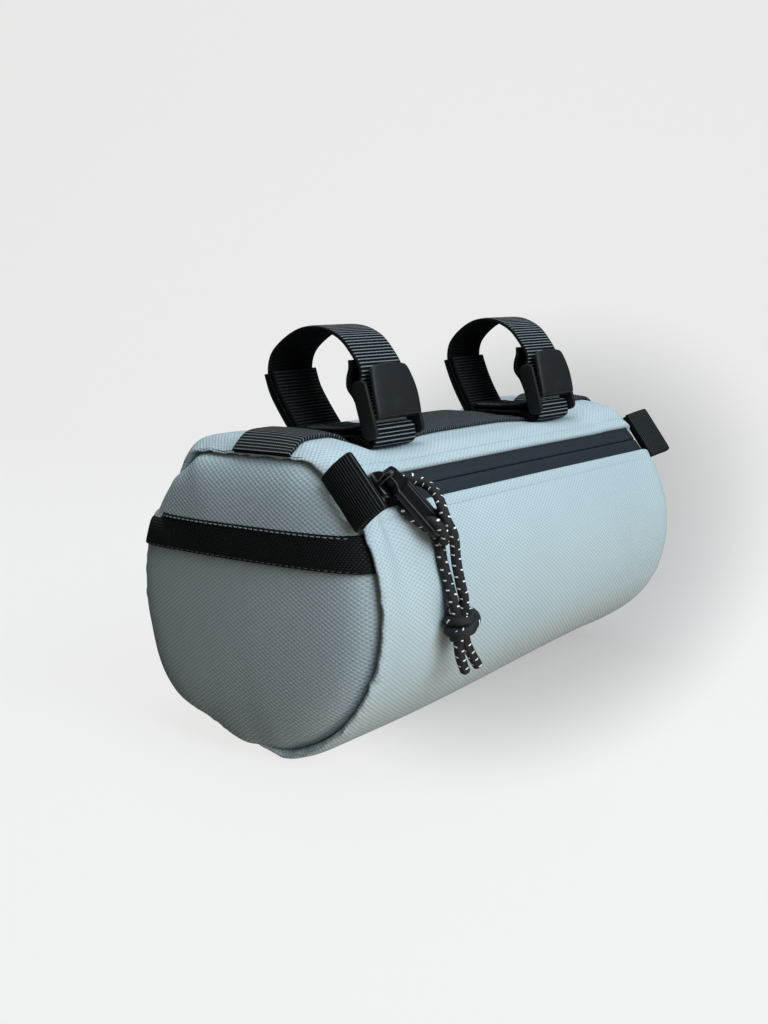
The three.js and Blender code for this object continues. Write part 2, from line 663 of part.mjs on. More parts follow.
function makeLoops() {
  for (const [name, side] of [["left", -1], ["right", 1]]) {
    const x = (side * LOOP_SPACING) / 2;
    const rows = STRAP_LINES[name];
    const webbing = {
      strap: strapLine(rows),
      rear_anchor: rearAnchorLine(rows),
      front_anchor: frontAnchorLine(),
    };
    for (const [piece, line] of Object.entries(webbing)) {
      add(`${piece}_${name}`, ribbon(line, STRAP, STRAP_WIDTH), WEBBING_FINISH).applyMatrix4(loopPlane(x));
    }
    add(`buckle_frame_${name}`, buckleFrame(), PLASTIC_FINISH).applyMatrix4(bucklePlane(x));
    add(`buckle_lever_${name}`, buckleLever(), PLASTIC_FINISH).applyMatrix4(bucklePlane(x));
  }
}

// Folded tab in an end seam, drawn out along the seam
function makeTab({ name, x, angle, radius, edge, lean }) {
  const straight = TAB.length - TAB.spread - TAB.thickness / 2;
  const line = [
    new THREE.Vector2(0, -TAB.spread),
    new THREE.Vector2(straight / 2, -TAB.spread),
    ...arc(new THREE.Vector2(straight, 0), TAB.spread, -90, 90, 8),
    new THREE.Vector2(straight / 2, TAB.spread),
    new THREE.Vector2(0, TAB.spread),
  ];
  const frame = tangentFrame(x, edge, radius).setPosition(aroundAxis(x, angle, radius));
  const turn = new THREE.Matrix4().makeBasis(
    new THREE.Vector3(lean.x, 0, lean.out),
    new THREE.Vector3(-lean.out, 0, lean.x),
    new THREE.Vector3(0, -1, 0),
  );
  add(name, ribbon(line, TAB.thickness, TAB.width), WEBBING_FINISH).applyMatrix4(frame.multiply(turn));
}

makeBody();
makeEnds();
makeTopWebbing();
makeZipTapes();
makeSlider();
makePuller();
makeCord();
makeLoops();
TABS.forEach(makeTab);

// The origin is below the middle of the bag without its cord
bag.updateMatrixWorld(true);
const middle = new THREE.Box3().setFromObject(bag, true).getCenter(new THREE.Vector3());
const part = new THREE.Group();
part.add(bag, pull);
part.position.set(-middle.x, -middle.y, 0);

export default part;
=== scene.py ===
"""Looks of a barrel handlebar bag: coated cloth, black webbing, a zip with a corded puller and cam buckles.

Shapes are worked out in millimetres in the barrel's own frame: x along the barrel from its middle, y to the
back, z up from the floor, and angles in degrees above the front. put() brings them into the shared frame, in
metres.
"""

import bpy
import numpy as np
from mathutils import Matrix, Vector


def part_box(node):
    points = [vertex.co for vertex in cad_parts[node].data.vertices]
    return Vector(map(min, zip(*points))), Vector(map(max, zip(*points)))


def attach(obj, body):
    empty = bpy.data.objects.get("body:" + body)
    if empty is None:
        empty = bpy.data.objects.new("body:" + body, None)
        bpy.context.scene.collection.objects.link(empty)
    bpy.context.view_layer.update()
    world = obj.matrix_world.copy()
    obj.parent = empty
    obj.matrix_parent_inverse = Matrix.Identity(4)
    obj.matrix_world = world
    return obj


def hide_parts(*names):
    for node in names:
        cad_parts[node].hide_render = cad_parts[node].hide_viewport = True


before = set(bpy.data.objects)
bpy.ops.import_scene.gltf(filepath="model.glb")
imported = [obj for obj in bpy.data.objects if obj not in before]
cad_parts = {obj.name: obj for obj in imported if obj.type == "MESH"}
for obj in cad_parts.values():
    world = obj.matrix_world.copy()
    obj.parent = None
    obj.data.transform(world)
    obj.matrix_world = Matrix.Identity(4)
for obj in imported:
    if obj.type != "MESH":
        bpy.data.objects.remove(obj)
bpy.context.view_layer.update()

# Sizes of the barrel, as in the part
MM = 0.001
METRE = 1000.0  # in millimetres
BODY_LENGTH = 212.0
BODY_RADIUS = 59.0
SEAM_RADIUS = 55.0
LIP_LENGTH = 8.0
AXIS_HEIGHT = 57.0
TOP_HEIGHT = 107.0
CORNER_SHARPNESS = 60.0
SIDE_RISE = 0.2
END = BODY_LENGTH / 2
LIP_START = END - LIP_LENGTH
ZIP_LOWER_EDGE, ZIP_UPPER_EDGE = 34.3, 49.0
ZIP_MIDDLE = (ZIP_LOWER_EDGE + ZIP_UPPER_EDGE) / 2
LOOP_SPACING = 113.5
STRAP_WIDTH = 25.0
STRAP = 1.3
SIDES = (("left", -1), ("right", 1))

# The barrel's middle in the shared frame, read from pieces that are symmetric about it
_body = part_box("body_panel")
_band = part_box("end_band_left")
ORIGIN = np.array([(_body[0].x + _body[1].x) / 2, (_band[0].y + _band[1].y) / 2, 0.0])


def put(points):
    """Millimetres in the barrel's frame to metres in the shared frame."""
    return np.asarray(points, float) * MM + ORIGIN


# Camera, fitted to the photograph's 768 x 1024 frame
PHOTO_HEIGHT = 1024
FOCAL_PIXELS = 1298.5
VIEW_AZIMUTH, VIEW_ELEVATION, VIEW_ROLL = -52.94, 9.68, -0.53
VIEW_TARGET = (-28.7, 0.0, 76.1)
VIEW_DISTANCE = 509.1
SENSOR = 36.0
CLIP_START, CLIP_END = 0.01, 20.0


def toward(azimuth, elevation):
    """The direction from the bag to a place at an azimuth and an elevation, in degrees."""
    a, e = np.radians([azimuth, elevation])
    return Vector((np.sin(a) * np.cos(e), -np.cos(a) * np.cos(e), np.sin(e)))


def add_object(name, data):
    """A new object of the scene, at the origin."""
    made = bpy.data.objects.new(name, data)
    bpy.context.collection.objects.link(made)
    return made


def make_camera():
    """A camera looking at the target from its azimuth and elevation, rolled about its own axis."""
    a, roll = np.radians([VIEW_AZIMUTH, VIEW_ROLL])
    back = toward(VIEW_AZIMUTH, VIEW_ELEVATION)
    level = Vector((np.cos(a), np.sin(a), 0))
    upright = back.cross(level)
    right = level * np.cos(roll) + upright * np.sin(roll)
    up = upright * np.cos(roll) - level * np.sin(roll)
    data = bpy.data.cameras.new("camera")
    data.sensor_width = SENSOR
    data.lens = FOCAL_PIXELS / PHOTO_HEIGHT * SENSOR
    data.clip_start = CLIP_START
    data.clip_end = CLIP_END
    camera = add_object("camera", data)
    place = Vector(put(VIEW_TARGET)) + back * (VIEW_DISTANCE * MM)
    camera.matrix_world = Matrix.Translation(place) @ Matrix((right, up, back)).transposed().to_4x4()
    bpy.context.scene.camera = camera


# Shader maths


class Value:
    """A socket of a finish with arithmetic: an expression on values adds Math nodes."""

    def __init__(self, finish, socket):
        self.finish = finish
        self.socket = socket

    def math(self, operation, first, second=0.0):
        """A Math node on one or two values."""
        return self.finish.node("Math", {"operation": operation}, {0: first, 1: second})

    def __add__(self, other):
        return self.math("ADD", self, other)

    def __radd__(self, other):
        return self.math("ADD", other, self)

    def __sub__(self, other):
        return self.math("SUBTRACT", self, other)

    def __rsub__(self, other):
        return self.math("SUBTRACT", other, self)

    def __mul__(self, other):
        return self.math("MULTIPLY", self, other)

    def __rmul__(self, other):
        return self.math("MULTIPLY", other, self)

    def __truediv__(self, other):
        return self.math("DIVIDE", self, other)

    def __rtruediv__(self, other):
        return self.math("DIVIDE", other, self)

    def sin(self):
        return self.math("SINE", self)

    def abs(self):
        return self.math("ABSOLUTE", self)

    def fract(self):
        return self.math("FRACT", self)

    def floor(self):
        return self.math("FLOOR", self)

    def below(self, other):
        return self.math("LESS_THAN", self, other)

    def smooth(self, low, high):
        """0 below low, 1 above high and a smooth step between."""
        return self.finish.node(
            "MapRange",
            {"interpolation_type": "SMOOTHSTEP"},
            {"Value": self, "From Min": low, "From Max": high},
        )


class Finish:
    """One material: a Principled shader, and a method that adds any other node."""

    def __init__(self, name, **constants):
        self.material = bpy.data.materials.new(name)
        self.material.use_nodes = True
        self.tree = self.material.node_tree
        self.shader = self.tree.nodes["Principled BSDF"]
        for socket, value in constants.items():
            self.shader.inputs[socket.replace("_", " ")].default_value = value

    def node(self, kind, settings=None, inputs=None, output=0):
        """A node of a kind: settings are set first, then its sockets by name or number."""
        made = self.tree.nodes.new("ShaderNode" + kind)
        for key, value in (settings or {}).items():
            setattr(made, key, value)
        for key, value in (inputs or {}).items():
            self.connect(value, made.inputs[key])
        return Value(self, made.outputs[output])

    def connect(self, value, socket):
        """Links a value to a socket, or sets the socket to a plain number, colour or vector."""
        if isinstance(value, Value):
            self.tree.links.new(value.socket, socket)
        else:
            socket.default_value = value

    def feed(self, socket, value):
        """Links or sets a socket of the Principled shader."""
        self.connect(value, self.shader.inputs[socket])

    def uv(self):
        """The piece's own coordinates in millimetres, along and across its surface."""
        spot = self.node("UVMap", {"uv_map": "surface"})
        return tuple(self.node("SeparateXYZ", inputs={0: spot}, output=axis) * METRE for axis in (0, 1))

    def place(self):
        """The place in the shared frame, in metres."""
        return self.node("TexCoord", output="Object")

    def noise(self, scale, detail=3.0, roughness=0.5):
        """Cloudy noise from 0 to 1 over the piece, with about so many clouds to a metre."""
        return self.node(
            "TexNoise",
            inputs={"Vector": self.place(), "Scale": scale, "Detail": detail, "Roughness": roughness},
        )

    def blend(self, factor, first, second):
        """A colour mixed from two by a factor."""
        return self.node("Mix", {"data_type": "RGBA"}, {0: factor, 6: first, 7: second}, 2)

    def bump(self, height, distance, strength):
        """Bump of a height given in units of distance, in metres."""
        return self.node("Bump", inputs={"Height": height, "Distance": distance, "Strength": strength})

    def done(self, base, roughness, height, distance, strength):
        """Feeds the shader's colour, roughness and bump, and gives the material."""
        self.feed("Base Color", base)
        self.feed("Roughness", roughness)
        self.feed("Normal", self.bump(height, distance, strength))
        return self.material


PI = float(np.pi)
WEAVE_ALONG, WEAVE_ACROSS = 1.18, 0.79  # half a repeat of the weave
RIB, TAB_RIB = 1.35, 0.95  # pitch of the ribs across the webbing and the tabs
YARN, TAB_YARN, FLAT_YARN = 0.8, 0.7, 0.75  # width of a yarn
FLAT_STEP = 1.6  # length of a yarn of the twill, in widths
SHEEN_FADES, SHEEN_GONE = 1.0, 0.3  # from the edge of a strap: where the painted sheen starts to fade, and is gone
INNER_SIDE = 200.0  # added to the place across a ribbon on the inner side of a loop, which keeps the painted sheen off it as painted shade
COIL_PITCH = 1.1
COIL_NEAR, COIL_FAR = 1.6, 3.4  # from the zip's centre line: where the ticks of the coil fade
GRAIN = 1800.0  # clouds to a metre of the fine grain of yarn


def colour(r, g, b):
    """An opaque colour."""
    return (r, g, b, 1.0)


CLOTH_GAP = colour(0.3, 0.37, 0.393)
CLOTH_DULL, CLOTH_BRIGHT = colour(0.385, 0.468, 0.498), colour(0.417, 0.5, 0.53)
WEB_GAP = colour(0.001, 0.0012, 0.0013)
TAPE_DULL, TAPE_BRIGHT = colour(0.011, 0.0165, 0.02), colour(0.016, 0.0225, 0.027)
STRAND_GAP, STRAND = colour(0.002, 0.002, 0.0024), colour(0.022, 0.024, 0.026)
FLECK = colour(0.86, 0.87, 0.88)


def cloth_finish():
    """Coated basket weave: oval crossings in staggered rows, a satin coat, and faint grey patches."""
    cloth = Finish("coated_cloth", Specular_IOR_Level=0.3)
    along, across = cloth.uv()
    crossing = (along * (PI / WEAVE_ALONG)).sin() * (across * (PI / WEAVE_ACROSS)).sin()
    raised = crossing.smooth(-0.6, 0.8)
    wide = cloth.noise(scale=18.0).smooth(0.3, 0.75)
    fine = cloth.noise(scale=1500.0, detail=2.0)
    tone = cloth.blend(wide, CLOTH_DULL, CLOTH_BRIGHT)
    base = cloth.blend(raised.smooth(0.0, 0.45), CLOTH_GAP, tone)
    roughness = 0.62 - raised * 0.14 + fine * 0.06
    return cloth.done(base, roughness, raised + fine * 0.08, distance=0.0002, strength=0.5)


def webbing_finish(name, rib, yarn, tint, half=STRAP_WIDTH / 2):
    """Black webbing: ribs across its length, each a row of short yarns, with black gaps; a painted sheen in
    the tint lies on the crests, fading out towards the edges and left off the inner side of a loop as painted
    shade.
    """
    webbing = Finish(name, Specular_IOR_Level=0.15)
    along, across = webbing.uv()
    row = (along / rib).floor()
    crest = ((along * (PI / rib)).sin()).abs()
    strand = ((across * (PI / yarn) + row * (PI / 2)).sin()).abs()
    fine = webbing.noise(GRAIN, detail=2.0)
    # Painted shade: the inner side of a loop gets none of the painted sheen
    outer = 1 - across.smooth(0.5 * INNER_SIDE, INNER_SIDE)
    # The painted sheen fades out towards the strap's edges
    inside = 1 - across.abs().smooth(half - SHEEN_FADES, half - SHEEN_GONE)
    # lit: the painted sheen on the rib crests
    lit = crest.smooth(0.82, 1.0) * (0.2 + strand * 0.8) * (outer * inside)
    roughness = 0.85 - lit * 0.5 + fine * 0.1
    height = crest * 0.5 + strand * 0.35 + fine * 0.2
    base = webbing.blend(lit, WEB_GAP, tint)
    return webbing.done(base, roughness, height, distance=0.0003, strength=0.7)


def twill_finish(name, yarn, tint):
    """Black twill webbing: short yarns in staggered slanting rows."""
    twill = Finish(name, Specular_IOR_Level=0.2)
    along, across = twill.uv()
    row = (across / yarn).floor()
    yarns = ((across * (PI / yarn)).sin()).abs()
    steps = ((along * (PI / (FLAT_STEP * yarn)) + row * (PI / 3)).sin()).abs()
    fine = twill.noise(GRAIN, detail=2.0)
    lit = yarns.smooth(0.2, 0.9) * steps.smooth(0.3, 0.95)
    roughness = 0.75 - lit * 0.3 + fine * 0.1
    base = twill.blend(lit, WEB_GAP, tint)
    return twill.done(base, roughness, lit + fine * 0.2, distance=0.0003, strength=0.8)


def tape_finish():
    """Rubbery zip tape, with fine ticks of the coil behind it on both sides of the centre line."""
    tape = Finish("zip_tape", Specular_IOR_Level=0.22)
    along, across = tape.uv()
    near = 1 - across.abs().smooth(COIL_NEAR, COIL_FAR)
    coil = (along * (2 * PI / COIL_PITCH)).sin() * near
    fine = tape.noise(scale=700.0)
    base = tape.blend(fine.smooth(0.3, 0.7), TAPE_DULL, TAPE_BRIGHT)
    height = coil * 0.6 + fine * 0.25
    return tape.done(base, 0.5 + fine * 0.2, height, distance=0.00014, strength=0.8)


def plastic_finish(name, roughness, dark, pale):
    """Moulded plastic: a fine grain, and paler scuffs."""
    plastic = Finish(name, Specular_IOR_Level=0.3)
    grain = plastic.noise(scale=2600.0, detail=2.0)
    scuff = plastic.noise(scale=160.0, detail=5.0, roughness=0.65)
    base = plastic.blend(scuff.smooth(0.5, 0.8), dark, pale)
    roughness = roughness + scuff * 0.12 + grain * 0.05
    return plastic.done(base, roughness, grain, distance=0.00005, strength=0.5)


CORD = 3.6
BRAID_ALONG, BRAID_AROUND = 1.1, 1.18  # repeats of the braid
FLECK_ROWS, FLECK_PITCH = 4, 3.9
FLECK_LONG, FLECK_WIDE = 0.13, 0.26  # shares of the pitch and of a row's width
FLECK_LEAN = 0.12


def cord_finish(name, pitch):
    """Braided elastic cord: a diamond braid in black, with rows of white flecks at alternate places."""
    cord = Finish(name, Specular_IOR_Level=0.3)
    along, around = cord.uv()
    lean = (along * (PI / BRAID_ALONG) + around * (2 * PI / BRAID_AROUND)).sin()
    back = (along * (PI / BRAID_ALONG) - around * (2 * PI / BRAID_AROUND)).sin()
    braid = (lean * back).abs()
    column = around / (PI * CORD / FLECK_ROWS) + 0.5
    aside = column.fract() - 0.5
    spot = (along / pitch + column.floor() * 0.5 + aside * FLECK_LEAN).fract()
    fleck = spot.below(FLECK_LONG * FLECK_PITCH / pitch) * aside.abs().below(FLECK_WIDE)
    strands = cord.blend(braid.smooth(0.25, 0.9), STRAND_GAP, STRAND)
    base = cord.blend(fleck, strands, FLECK)
    height = braid * 0.6 + fleck * 0.6
    return cord.done(base, 0.62 - fleck * 0.1, height, distance=0.0002, strength=0.7)


THREAD_SHADE = 0.7  # of the dark parts of a thread


def thread_finish(name, tint):
    """Twisted sewing thread."""
    thread = Finish(name)
    fine = thread.noise(scale=2200.0, detail=2.0)
    dark = colour(*(THREAD_SHADE * part for part in tint[:3]))
    base = thread.blend(fine, dark, tint)
    return thread.done(base, 0.6, fine, distance=0.0001, strength=0.6)


# Layout of the floor's painted shadow: an oval round the bag's right end
SIGHT_X, SIGHT_Y = 0.8, 0.6  # the level direction in which the camera looks
SIGHT_START = 0.53  # metres from the camera to the middle
SIGHT_HEIGHT = 0.21  # height of the camera in metres, at the scale of slopes
SLOPE_ASIDE, SLOPE_DOWN = 1.376, 1.298  # scales of slopes
OVAL_ASIDE, OVAL_DOWN = 0.116, 0.269  # middle of the oval
OVAL_AHEAD, OVAL_SLANT = 0.85, 0.5  # its slant
OVAL_LONG, OVAL_WIDE = 0.26, 0.19
OVAL_INNER, OVAL_OUTER = 0.1, 1.5  # squared shares of the oval where its painted shadow is full, and is over


def floor_finish():
    """Pale paper sweep with an even light of its own, and a painted shadow: its light is a little weaker in
    an oval round the bag's right end.

    The painted shadow's oval is laid out by the slopes at which a place lies to the right of the camera's
    place and below it.
    """
    floor = Finish("pale_sweep", Roughness=0.95, Specular_IOR_Level=0.05, Emission_Strength=1.0)
    x, y, z = (floor.node("SeparateXYZ", inputs={0: floor.place()}, output=axis) for axis in (0, 1, 2))
    depth = x * SIGHT_X + y * SIGHT_Y + SIGHT_START
    aside = (x * SIGHT_Y - y * SIGHT_X) / depth * SLOPE_ASIDE - OVAL_ASIDE
    down = (SIGHT_HEIGHT - z * SLOPE_DOWN) / depth - OVAL_DOWN
    slant = (aside * OVAL_AHEAD - down * OVAL_SLANT) / OVAL_LONG
    across = (aside * OVAL_SLANT + down * OVAL_AHEAD) / OVAL_WIDE
    # shade: the painted shadow, full in the oval's middle and none outside it
    shade = 1 - (slant * slant + across * across).smooth(OVAL_INNER, OVAL_OUTER)
    paper = floor.noise(scale=3.0, detail=2.0)
    floor.feed("Base Color", floor.blend(paper, colour(0.088, 0.086, 0.085), colour(0.092, 0.09, 0.089)))
    # Painted shadow: the floor's own light is dimmer where shade is full
    floor.feed("Emission Color", floor.blend(shade, colour(0.775, 0.773, 0.77), colour(0.44, 0.44, 0.44)))
    return floor.material


CLOTH = cloth_finish()
# Each webbing's tint is the colour of the painted sheen on its rib crests
STRAP_WEB = webbing_finish("strap_webbing", RIB, YARN, colour(0.25, 0.286, 0.3))
TOP_WEB = webbing_finish("top_webbing", RIB, YARN, colour(0.17, 0.195, 0.206), INNER_SIDE)
# Rear leaves: the strap's webbing with its painted sheen dimmed, as painted shade
SHADED_WEB = webbing_finish("shaded_webbing", RIB, YARN, colour(0.035, 0.041, 0.044))
# Tabs: a dimmer painted sheen, as painted shade
TAB_WEB = webbing_finish("tab_webbing", TAB_RIB, TAB_YARN, colour(0.055, 0.063, 0.067), INNER_SIDE)
FLAT_WEB = twill_finish("flat_webbing", FLAT_YARN, colour(0.0075, 0.009, 0.01))
TAPE = tape_finish()
BUCKLE = plastic_finish("buckle_plastic", 0.5, colour(0.0065, 0.008, 0.0095), colour(0.01, 0.0125, 0.0145))
RAIL = plastic_finish("rail_plastic", 0.5, colour(0.003, 0.0034, 0.0038), colour(0.005, 0.0056, 0.006))
PULL = plastic_finish("puller_plastic", 0.3, colour(0.003, 0.003, 0.0034), colour(0.006, 0.006, 0.0065))
GLOSS = plastic_finish("gloss_fitting", 0.14, colour(0.004, 0.0036, 0.0034), colour(0.009, 0.0075, 0.0065))
CORD_FINISH = cord_finish("flecked_cord", FLECK_PITCH)
KNOT_FINISH = cord_finish("knotted_cord", 3 * FLECK_PITCH)
PALE_THREAD = thread_finish("pale_thread", colour(0.42, 0.49, 0.51))
BLACK_THREAD = thread_finish("black_thread", colour(0.02, 0.021, 0.023))
GREY_THREAD = thread_finish("grey_thread", colour(0.17, 0.19, 0.2))


# Meshes from arrays


def grid_faces(rows, columns, closed):
    """Corner numbers and steps of the quads of a grid numbered row by row; closed rows are rings."""
    i, j = np.meshgrid(np.arange(rows - 1), np.arange(columns - (not closed)), indexing="ij")
    i, j = i.ravel(), j.ravel()
    down, right = i + 1, (j + 1) % columns
    corners = np.stack([i * columns + j, down * columns + j, down * columns + right, i * columns + right], 1)
    steps = np.stack([np.stack([i + a, j + b], 1) for a, b in ((0, 0), (1, 0), (1, 1), (0, 1))], 1)
    return corners, steps


def piece(name, points, material, nodes=(), closed=False, uv=None):
    """A mesh from a grid of points in millimetres, riding on the bag.

    A closed grid's rows are rings, and a cap closes each end. uv holds millimetres along the piece and across
    it, with one more across than a ring has points.
    """
    points = np.asarray(points, float)
    rows, columns = points.shape[:2]
    corners, steps = grid_faces(rows, columns, closed)
    loops = corners.ravel()
    sizes = np.full(len(corners), 4)
    if closed:
        first = np.arange(columns)
        last = np.arange(columns)[::-1] + (rows - 1) * columns
        loops = np.concatenate([loops, first, last])
        sizes = np.concatenate([sizes, [columns, columns]])
    mesh = bpy.data.meshes.new(name)
    mesh.vertices.add(rows * columns)
    mesh.vertices.foreach_set("co", put(points.reshape(-1, 3)).ravel())
    mesh.loops.add(len(loops))
    mesh.loops.foreach_set("vertex_index", loops.astype(np.int32))
    mesh.polygons.add(len(sizes))
    starts = np.concatenate([[0], np.cumsum(sizes)[:-1]])
    mesh.polygons.foreach_set("loop_start", starts.astype(np.int32))
    mesh.polygons.foreach_set("use_smooth", np.ones(len(sizes), bool))
    if uv is not None:
        layer = mesh.uv_layers.new(name="surface")
        along, across = (np.asarray(v, float) for v in uv)
        spots = np.zeros((len(loops), 2))
        flat = steps.reshape(-1, 2)
        spots[: len(flat), 0] = along[flat[:, 0]] if along.ndim == 1 else along[flat[:, 0], flat[:, 1]]
        spots[: len(flat), 1] = across[flat[:, 1]] if across.ndim == 1 else across[flat[:, 0], flat[:, 1]]
        layer.data.foreach_set("uv", (spots * MM).ravel())
    mesh.update(calc_edges=True)
    mesh.validate()
    return show(name, mesh, material, nodes)


def show(name, mesh, material, nodes=()):
    """Puts a mesh into the scene as a piece that rides on the bag and stands for the given nodes."""
    mesh.materials.append(material)
    made = add_object(name, mesh)
    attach(made, "root")
    if nodes:
        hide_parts(*nodes)
    return made


def smooth_mesh(name, points, faces):
    """A smoothly shaded mesh from an array of points in millimetres and lists of corners."""
    mesh = bpy.data.meshes.new(name)
    mesh.from_pydata(put(points.reshape(-1, 3)).tolist(), [], faces)
    mesh.polygons.foreach_set("use_smooth", np.ones(len(mesh.polygons), bool))
    return mesh


def unit(vectors):
    """Vectors drawn to length 1."""
    return vectors / np.linalg.norm(vectors, axis=-1, keepdims=True)


def lengths(points):
    """Distance along a line of points from its start."""
    return np.concatenate([[0], np.cumsum(np.linalg.norm(np.diff(points, axis=0), axis=1))])


CURVE_STEPS = 40  # for each given point, before a curve is spaced evenly


def curve(knots, count):
    """A smooth line through given points, evenly spaced: a centripetal Catmull-Rom curve."""
    knots = np.asarray(knots, float)
    ends = np.vstack([2 * knots[0] - knots[1], knots, 2 * knots[-1] - knots[-2]])
    time = np.concatenate([[0], np.cumsum(np.linalg.norm(np.diff(ends, axis=0), axis=1) ** 0.5)])
    t = np.linspace(time[1], time[-2], CURVE_STEPS * len(knots))
    k = np.clip(np.searchsorted(time, t, side="right") - 1, 1, len(knots) - 1)
    p = [ends[k + d] for d in (-1, 0, 1, 2)]
    s = [time[k + d] for d in (-1, 0, 1, 2)]

    def mix(a, b, i, j):
        """Two rows of points mixed by where t lies between two of the knots' times."""
        return ((s[j] - t)[:, None] * a + (t - s[i])[:, None] * b) / (s[j] - s[i])[:, None]

    a1, a2, a3 = mix(p[0], p[1], 0, 1), mix(p[1], p[2], 1, 2), mix(p[2], p[3], 2, 3)
    line = mix(mix(a1, a2, 0, 2), mix(a2, a3, 1, 3), 1, 2)
    far = lengths(line)
    even = np.linspace(0, far[-1], count)
    return np.stack([np.interp(even, far, line[:, axis]) for axis in range(line.shape[1])], 1)


def circle(count):
    """Angles evenly round a circle."""
    return np.linspace(0, 2 * np.pi, count, endpoint=False)


def crowded(count):
    """Places from -1 to 1, closer together towards both ends, as a sine."""
    return np.sin(np.linspace(-1, 1, count) * np.pi / 2)


def step(low, high, value):
    """A smooth step from 0 at low to 1 at high."""
    share = np.clip((value - low) / (high - low), 0, 1)
    return share * share * (3 - 2 * share)


def stretch(value, start, full, end, over):
    """1 between full and end, with smooth steps from start and to over."""
    return step(start, full, value) * (1 - step(end, over, value))


def hill(value, middle, reach, power=2):
    """1 at the middle, falling to both sides as the exponential of minus a power."""
    return np.exp(-(((value - middle) / reach) ** power))


def around_axis(x, angle, radius):
    """Points at a distance from the barrel's axis, at an angle above the front."""
    turn = np.radians(angle)
    x, y, z = np.broadcast_arrays(x, -radius * np.cos(turn), AXIS_HEIGHT + radius * np.sin(turn))
    return np.stack([x, y, z], -1)


# Cord


# x, angle, radius: from the knot up the left strand, round the tongue and down the right strand
CORD_ROUTE = (
    (-74.1, 0.5, 63.4), (-73.8, 6.0, 61.6), (-75.0, 13.6, 61.3), (-74.4, 17.9, 61.2),
    (-74.0, 21.2, 61.2), (-76.6, 24.2, 61.2), (-79.8, 26.7, 61.2), (-82.6, 28.9, 61.2),
    (-84.6, 31.0, 61.2), (-85.3, 33.2, 61.2), (-83.9, 35.6, 61.0), (-82.2, 38.6, 60.8),
    (-80.6, 41.2, 60.8), (-78.0, 42.7, 61.2), (-74.5, 42.4, 62.0), (-71.8, 40.0, 62.8),
    (-71.4, 37.0, 64.6), (-73.3, 33.2, 67.0), (-75.8, 29.8, 68.6), (-76.9, 27.0, 69.0),
    (-77.3, 24.4, 69.2), (-76.0, 21.3, 69.0), (-74.3, 18.5, 67.4), (-73.0, 15.6, 65.8),
    (-72.7, 12.6, 65.2), (-72.0, 6.0, 65.2), (-70.1, 0.5, 65.0),
)
EYE_TURN = (  # x, angle, radius: from beside the left strand over the tongue's tip into its eye
    (-74.6, 20.4, 62.4), (-76.0, 19.7, 64.6), (-78.2, 21.8, 67.2), (-80.2, 24.0, 67.7), (-81.4, 25.6, 67.0),
    (-81.6, 26.4, 65.0),
)
LEFT_TAIL = ((-67.6, -63.8, 32.0), (-71.2, -64.2, 38.0), (-72.9, -64.6, 43.2), (-73.4, -64.8, 50.0))
RIGHT_TAIL = ((-70.5, -64.8, 50.0), (-68.6, -64.6, 43.2), (-65.0, -64.4, 38.0), (-60.4, -64.2, 32.6))
KNOT_MIDDLE = around_axis(-71.8, -6.0, 65.0)
KNOT_TURNS, KNOT_HEIGHT, KNOT_RADIUS, KNOT_SWELL = 2.4, 8.6, 3.0, 1.2
KNOT_LEAN, KNOT_BAND_LEAN = 0.22, -0.4  # how far the knot's axis and its band's lean along the barrel
KNOT_BAND = (  # along, out, up from the knot's middle: the strand that lies over its turns
    (-3.4, -1.0, -4.4), (-4.6, 2.0, -3.0), (-2.6, 4.4, -1.4), (0.6, 4.9, 0.4),
    (3.6, 3.8, 2.0), (4.8, 0.8, 3.0), (3.0, -1.6, 3.4),
)


def tube(name, line, radius, beside, material, nodes=(), sides=16):
    """A round section carried along a line, with closed ends.

    beside is a direction, or one for each point, that the line never follows; the section is turned from it.
    """
    ahead = unit(np.gradient(line, axis=0))
    side = unit(np.cross(ahead, beside))
    other = np.cross(ahead, side)
    turn = circle(sides)
    ring = np.cos(turn)[None, :, None] * side[:, None] + np.sin(turn)[None, :, None] * other[:, None]
    return piece(
        name, line[:, None] + ring * radius, material, nodes, closed=True,
        uv=(lengths(line), np.linspace(0, 2 * np.pi * radius, sides + 1)),
    )


def outward(points):
    """Directions from the barrel's axis to points."""
    return unit((points - [0, 0, AXIS_HEIGHT]) * [0, 1, 1])


def make_cord():
    """One cord from tail to tail by the knot and the loop round the tongue, and the knot's own turns."""
    loop = around_axis(*np.array(CORD_ROUTE).T)
    line = curve(np.vstack([LEFT_TAIL, loop, RIGHT_TAIL]), count=420)
    cord = tube(
        "pull_cord_flecked", line, CORD / 2, outward(line), CORD_FINISH,
        ("pull_cord", "cord_tail_left", "cord_tail_right"),
    )
    along, up = np.array([1.0, 0, 0]), np.array([0, 0, 1.0])
    out = outward(KNOT_MIDDLE)
    share = np.linspace(0, 1, 240)[:, None]
    turn = 2 * np.pi * KNOT_TURNS * share
    wide = KNOT_RADIUS + KNOT_SWELL * np.sin(np.pi * share)
    axis = unit(up + KNOT_LEAN * along)
    ring = np.cos(turn) * along - np.sin(turn) * out
    coil = KNOT_MIDDLE + axis * (share - 0.5) * KNOT_HEIGHT + wide * ring
    knot = tube("pull_knot_turns", coil, CORD / 2, axis, KNOT_FINISH, ("pull_knot",))
    spots = curve(KNOT_BAND, count=90)
    over = KNOT_MIDDLE + spots[:, :1] * along + spots[:, 1:2] * out + spots[:, 2:] * up
    lean = unit(up + KNOT_BAND_LEAN * along)
    band = tube("pull_knot_strand", over, CORD / 2, lean, KNOT_FINISH)
    rows = curve(around_axis(*np.array(EYE_TURN).T), count=70)
    hitch = tube("pull_cord_hitch", rows, CORD / 2, PULLER_ACROSS, CORD_FINISH)


# Slider and puller


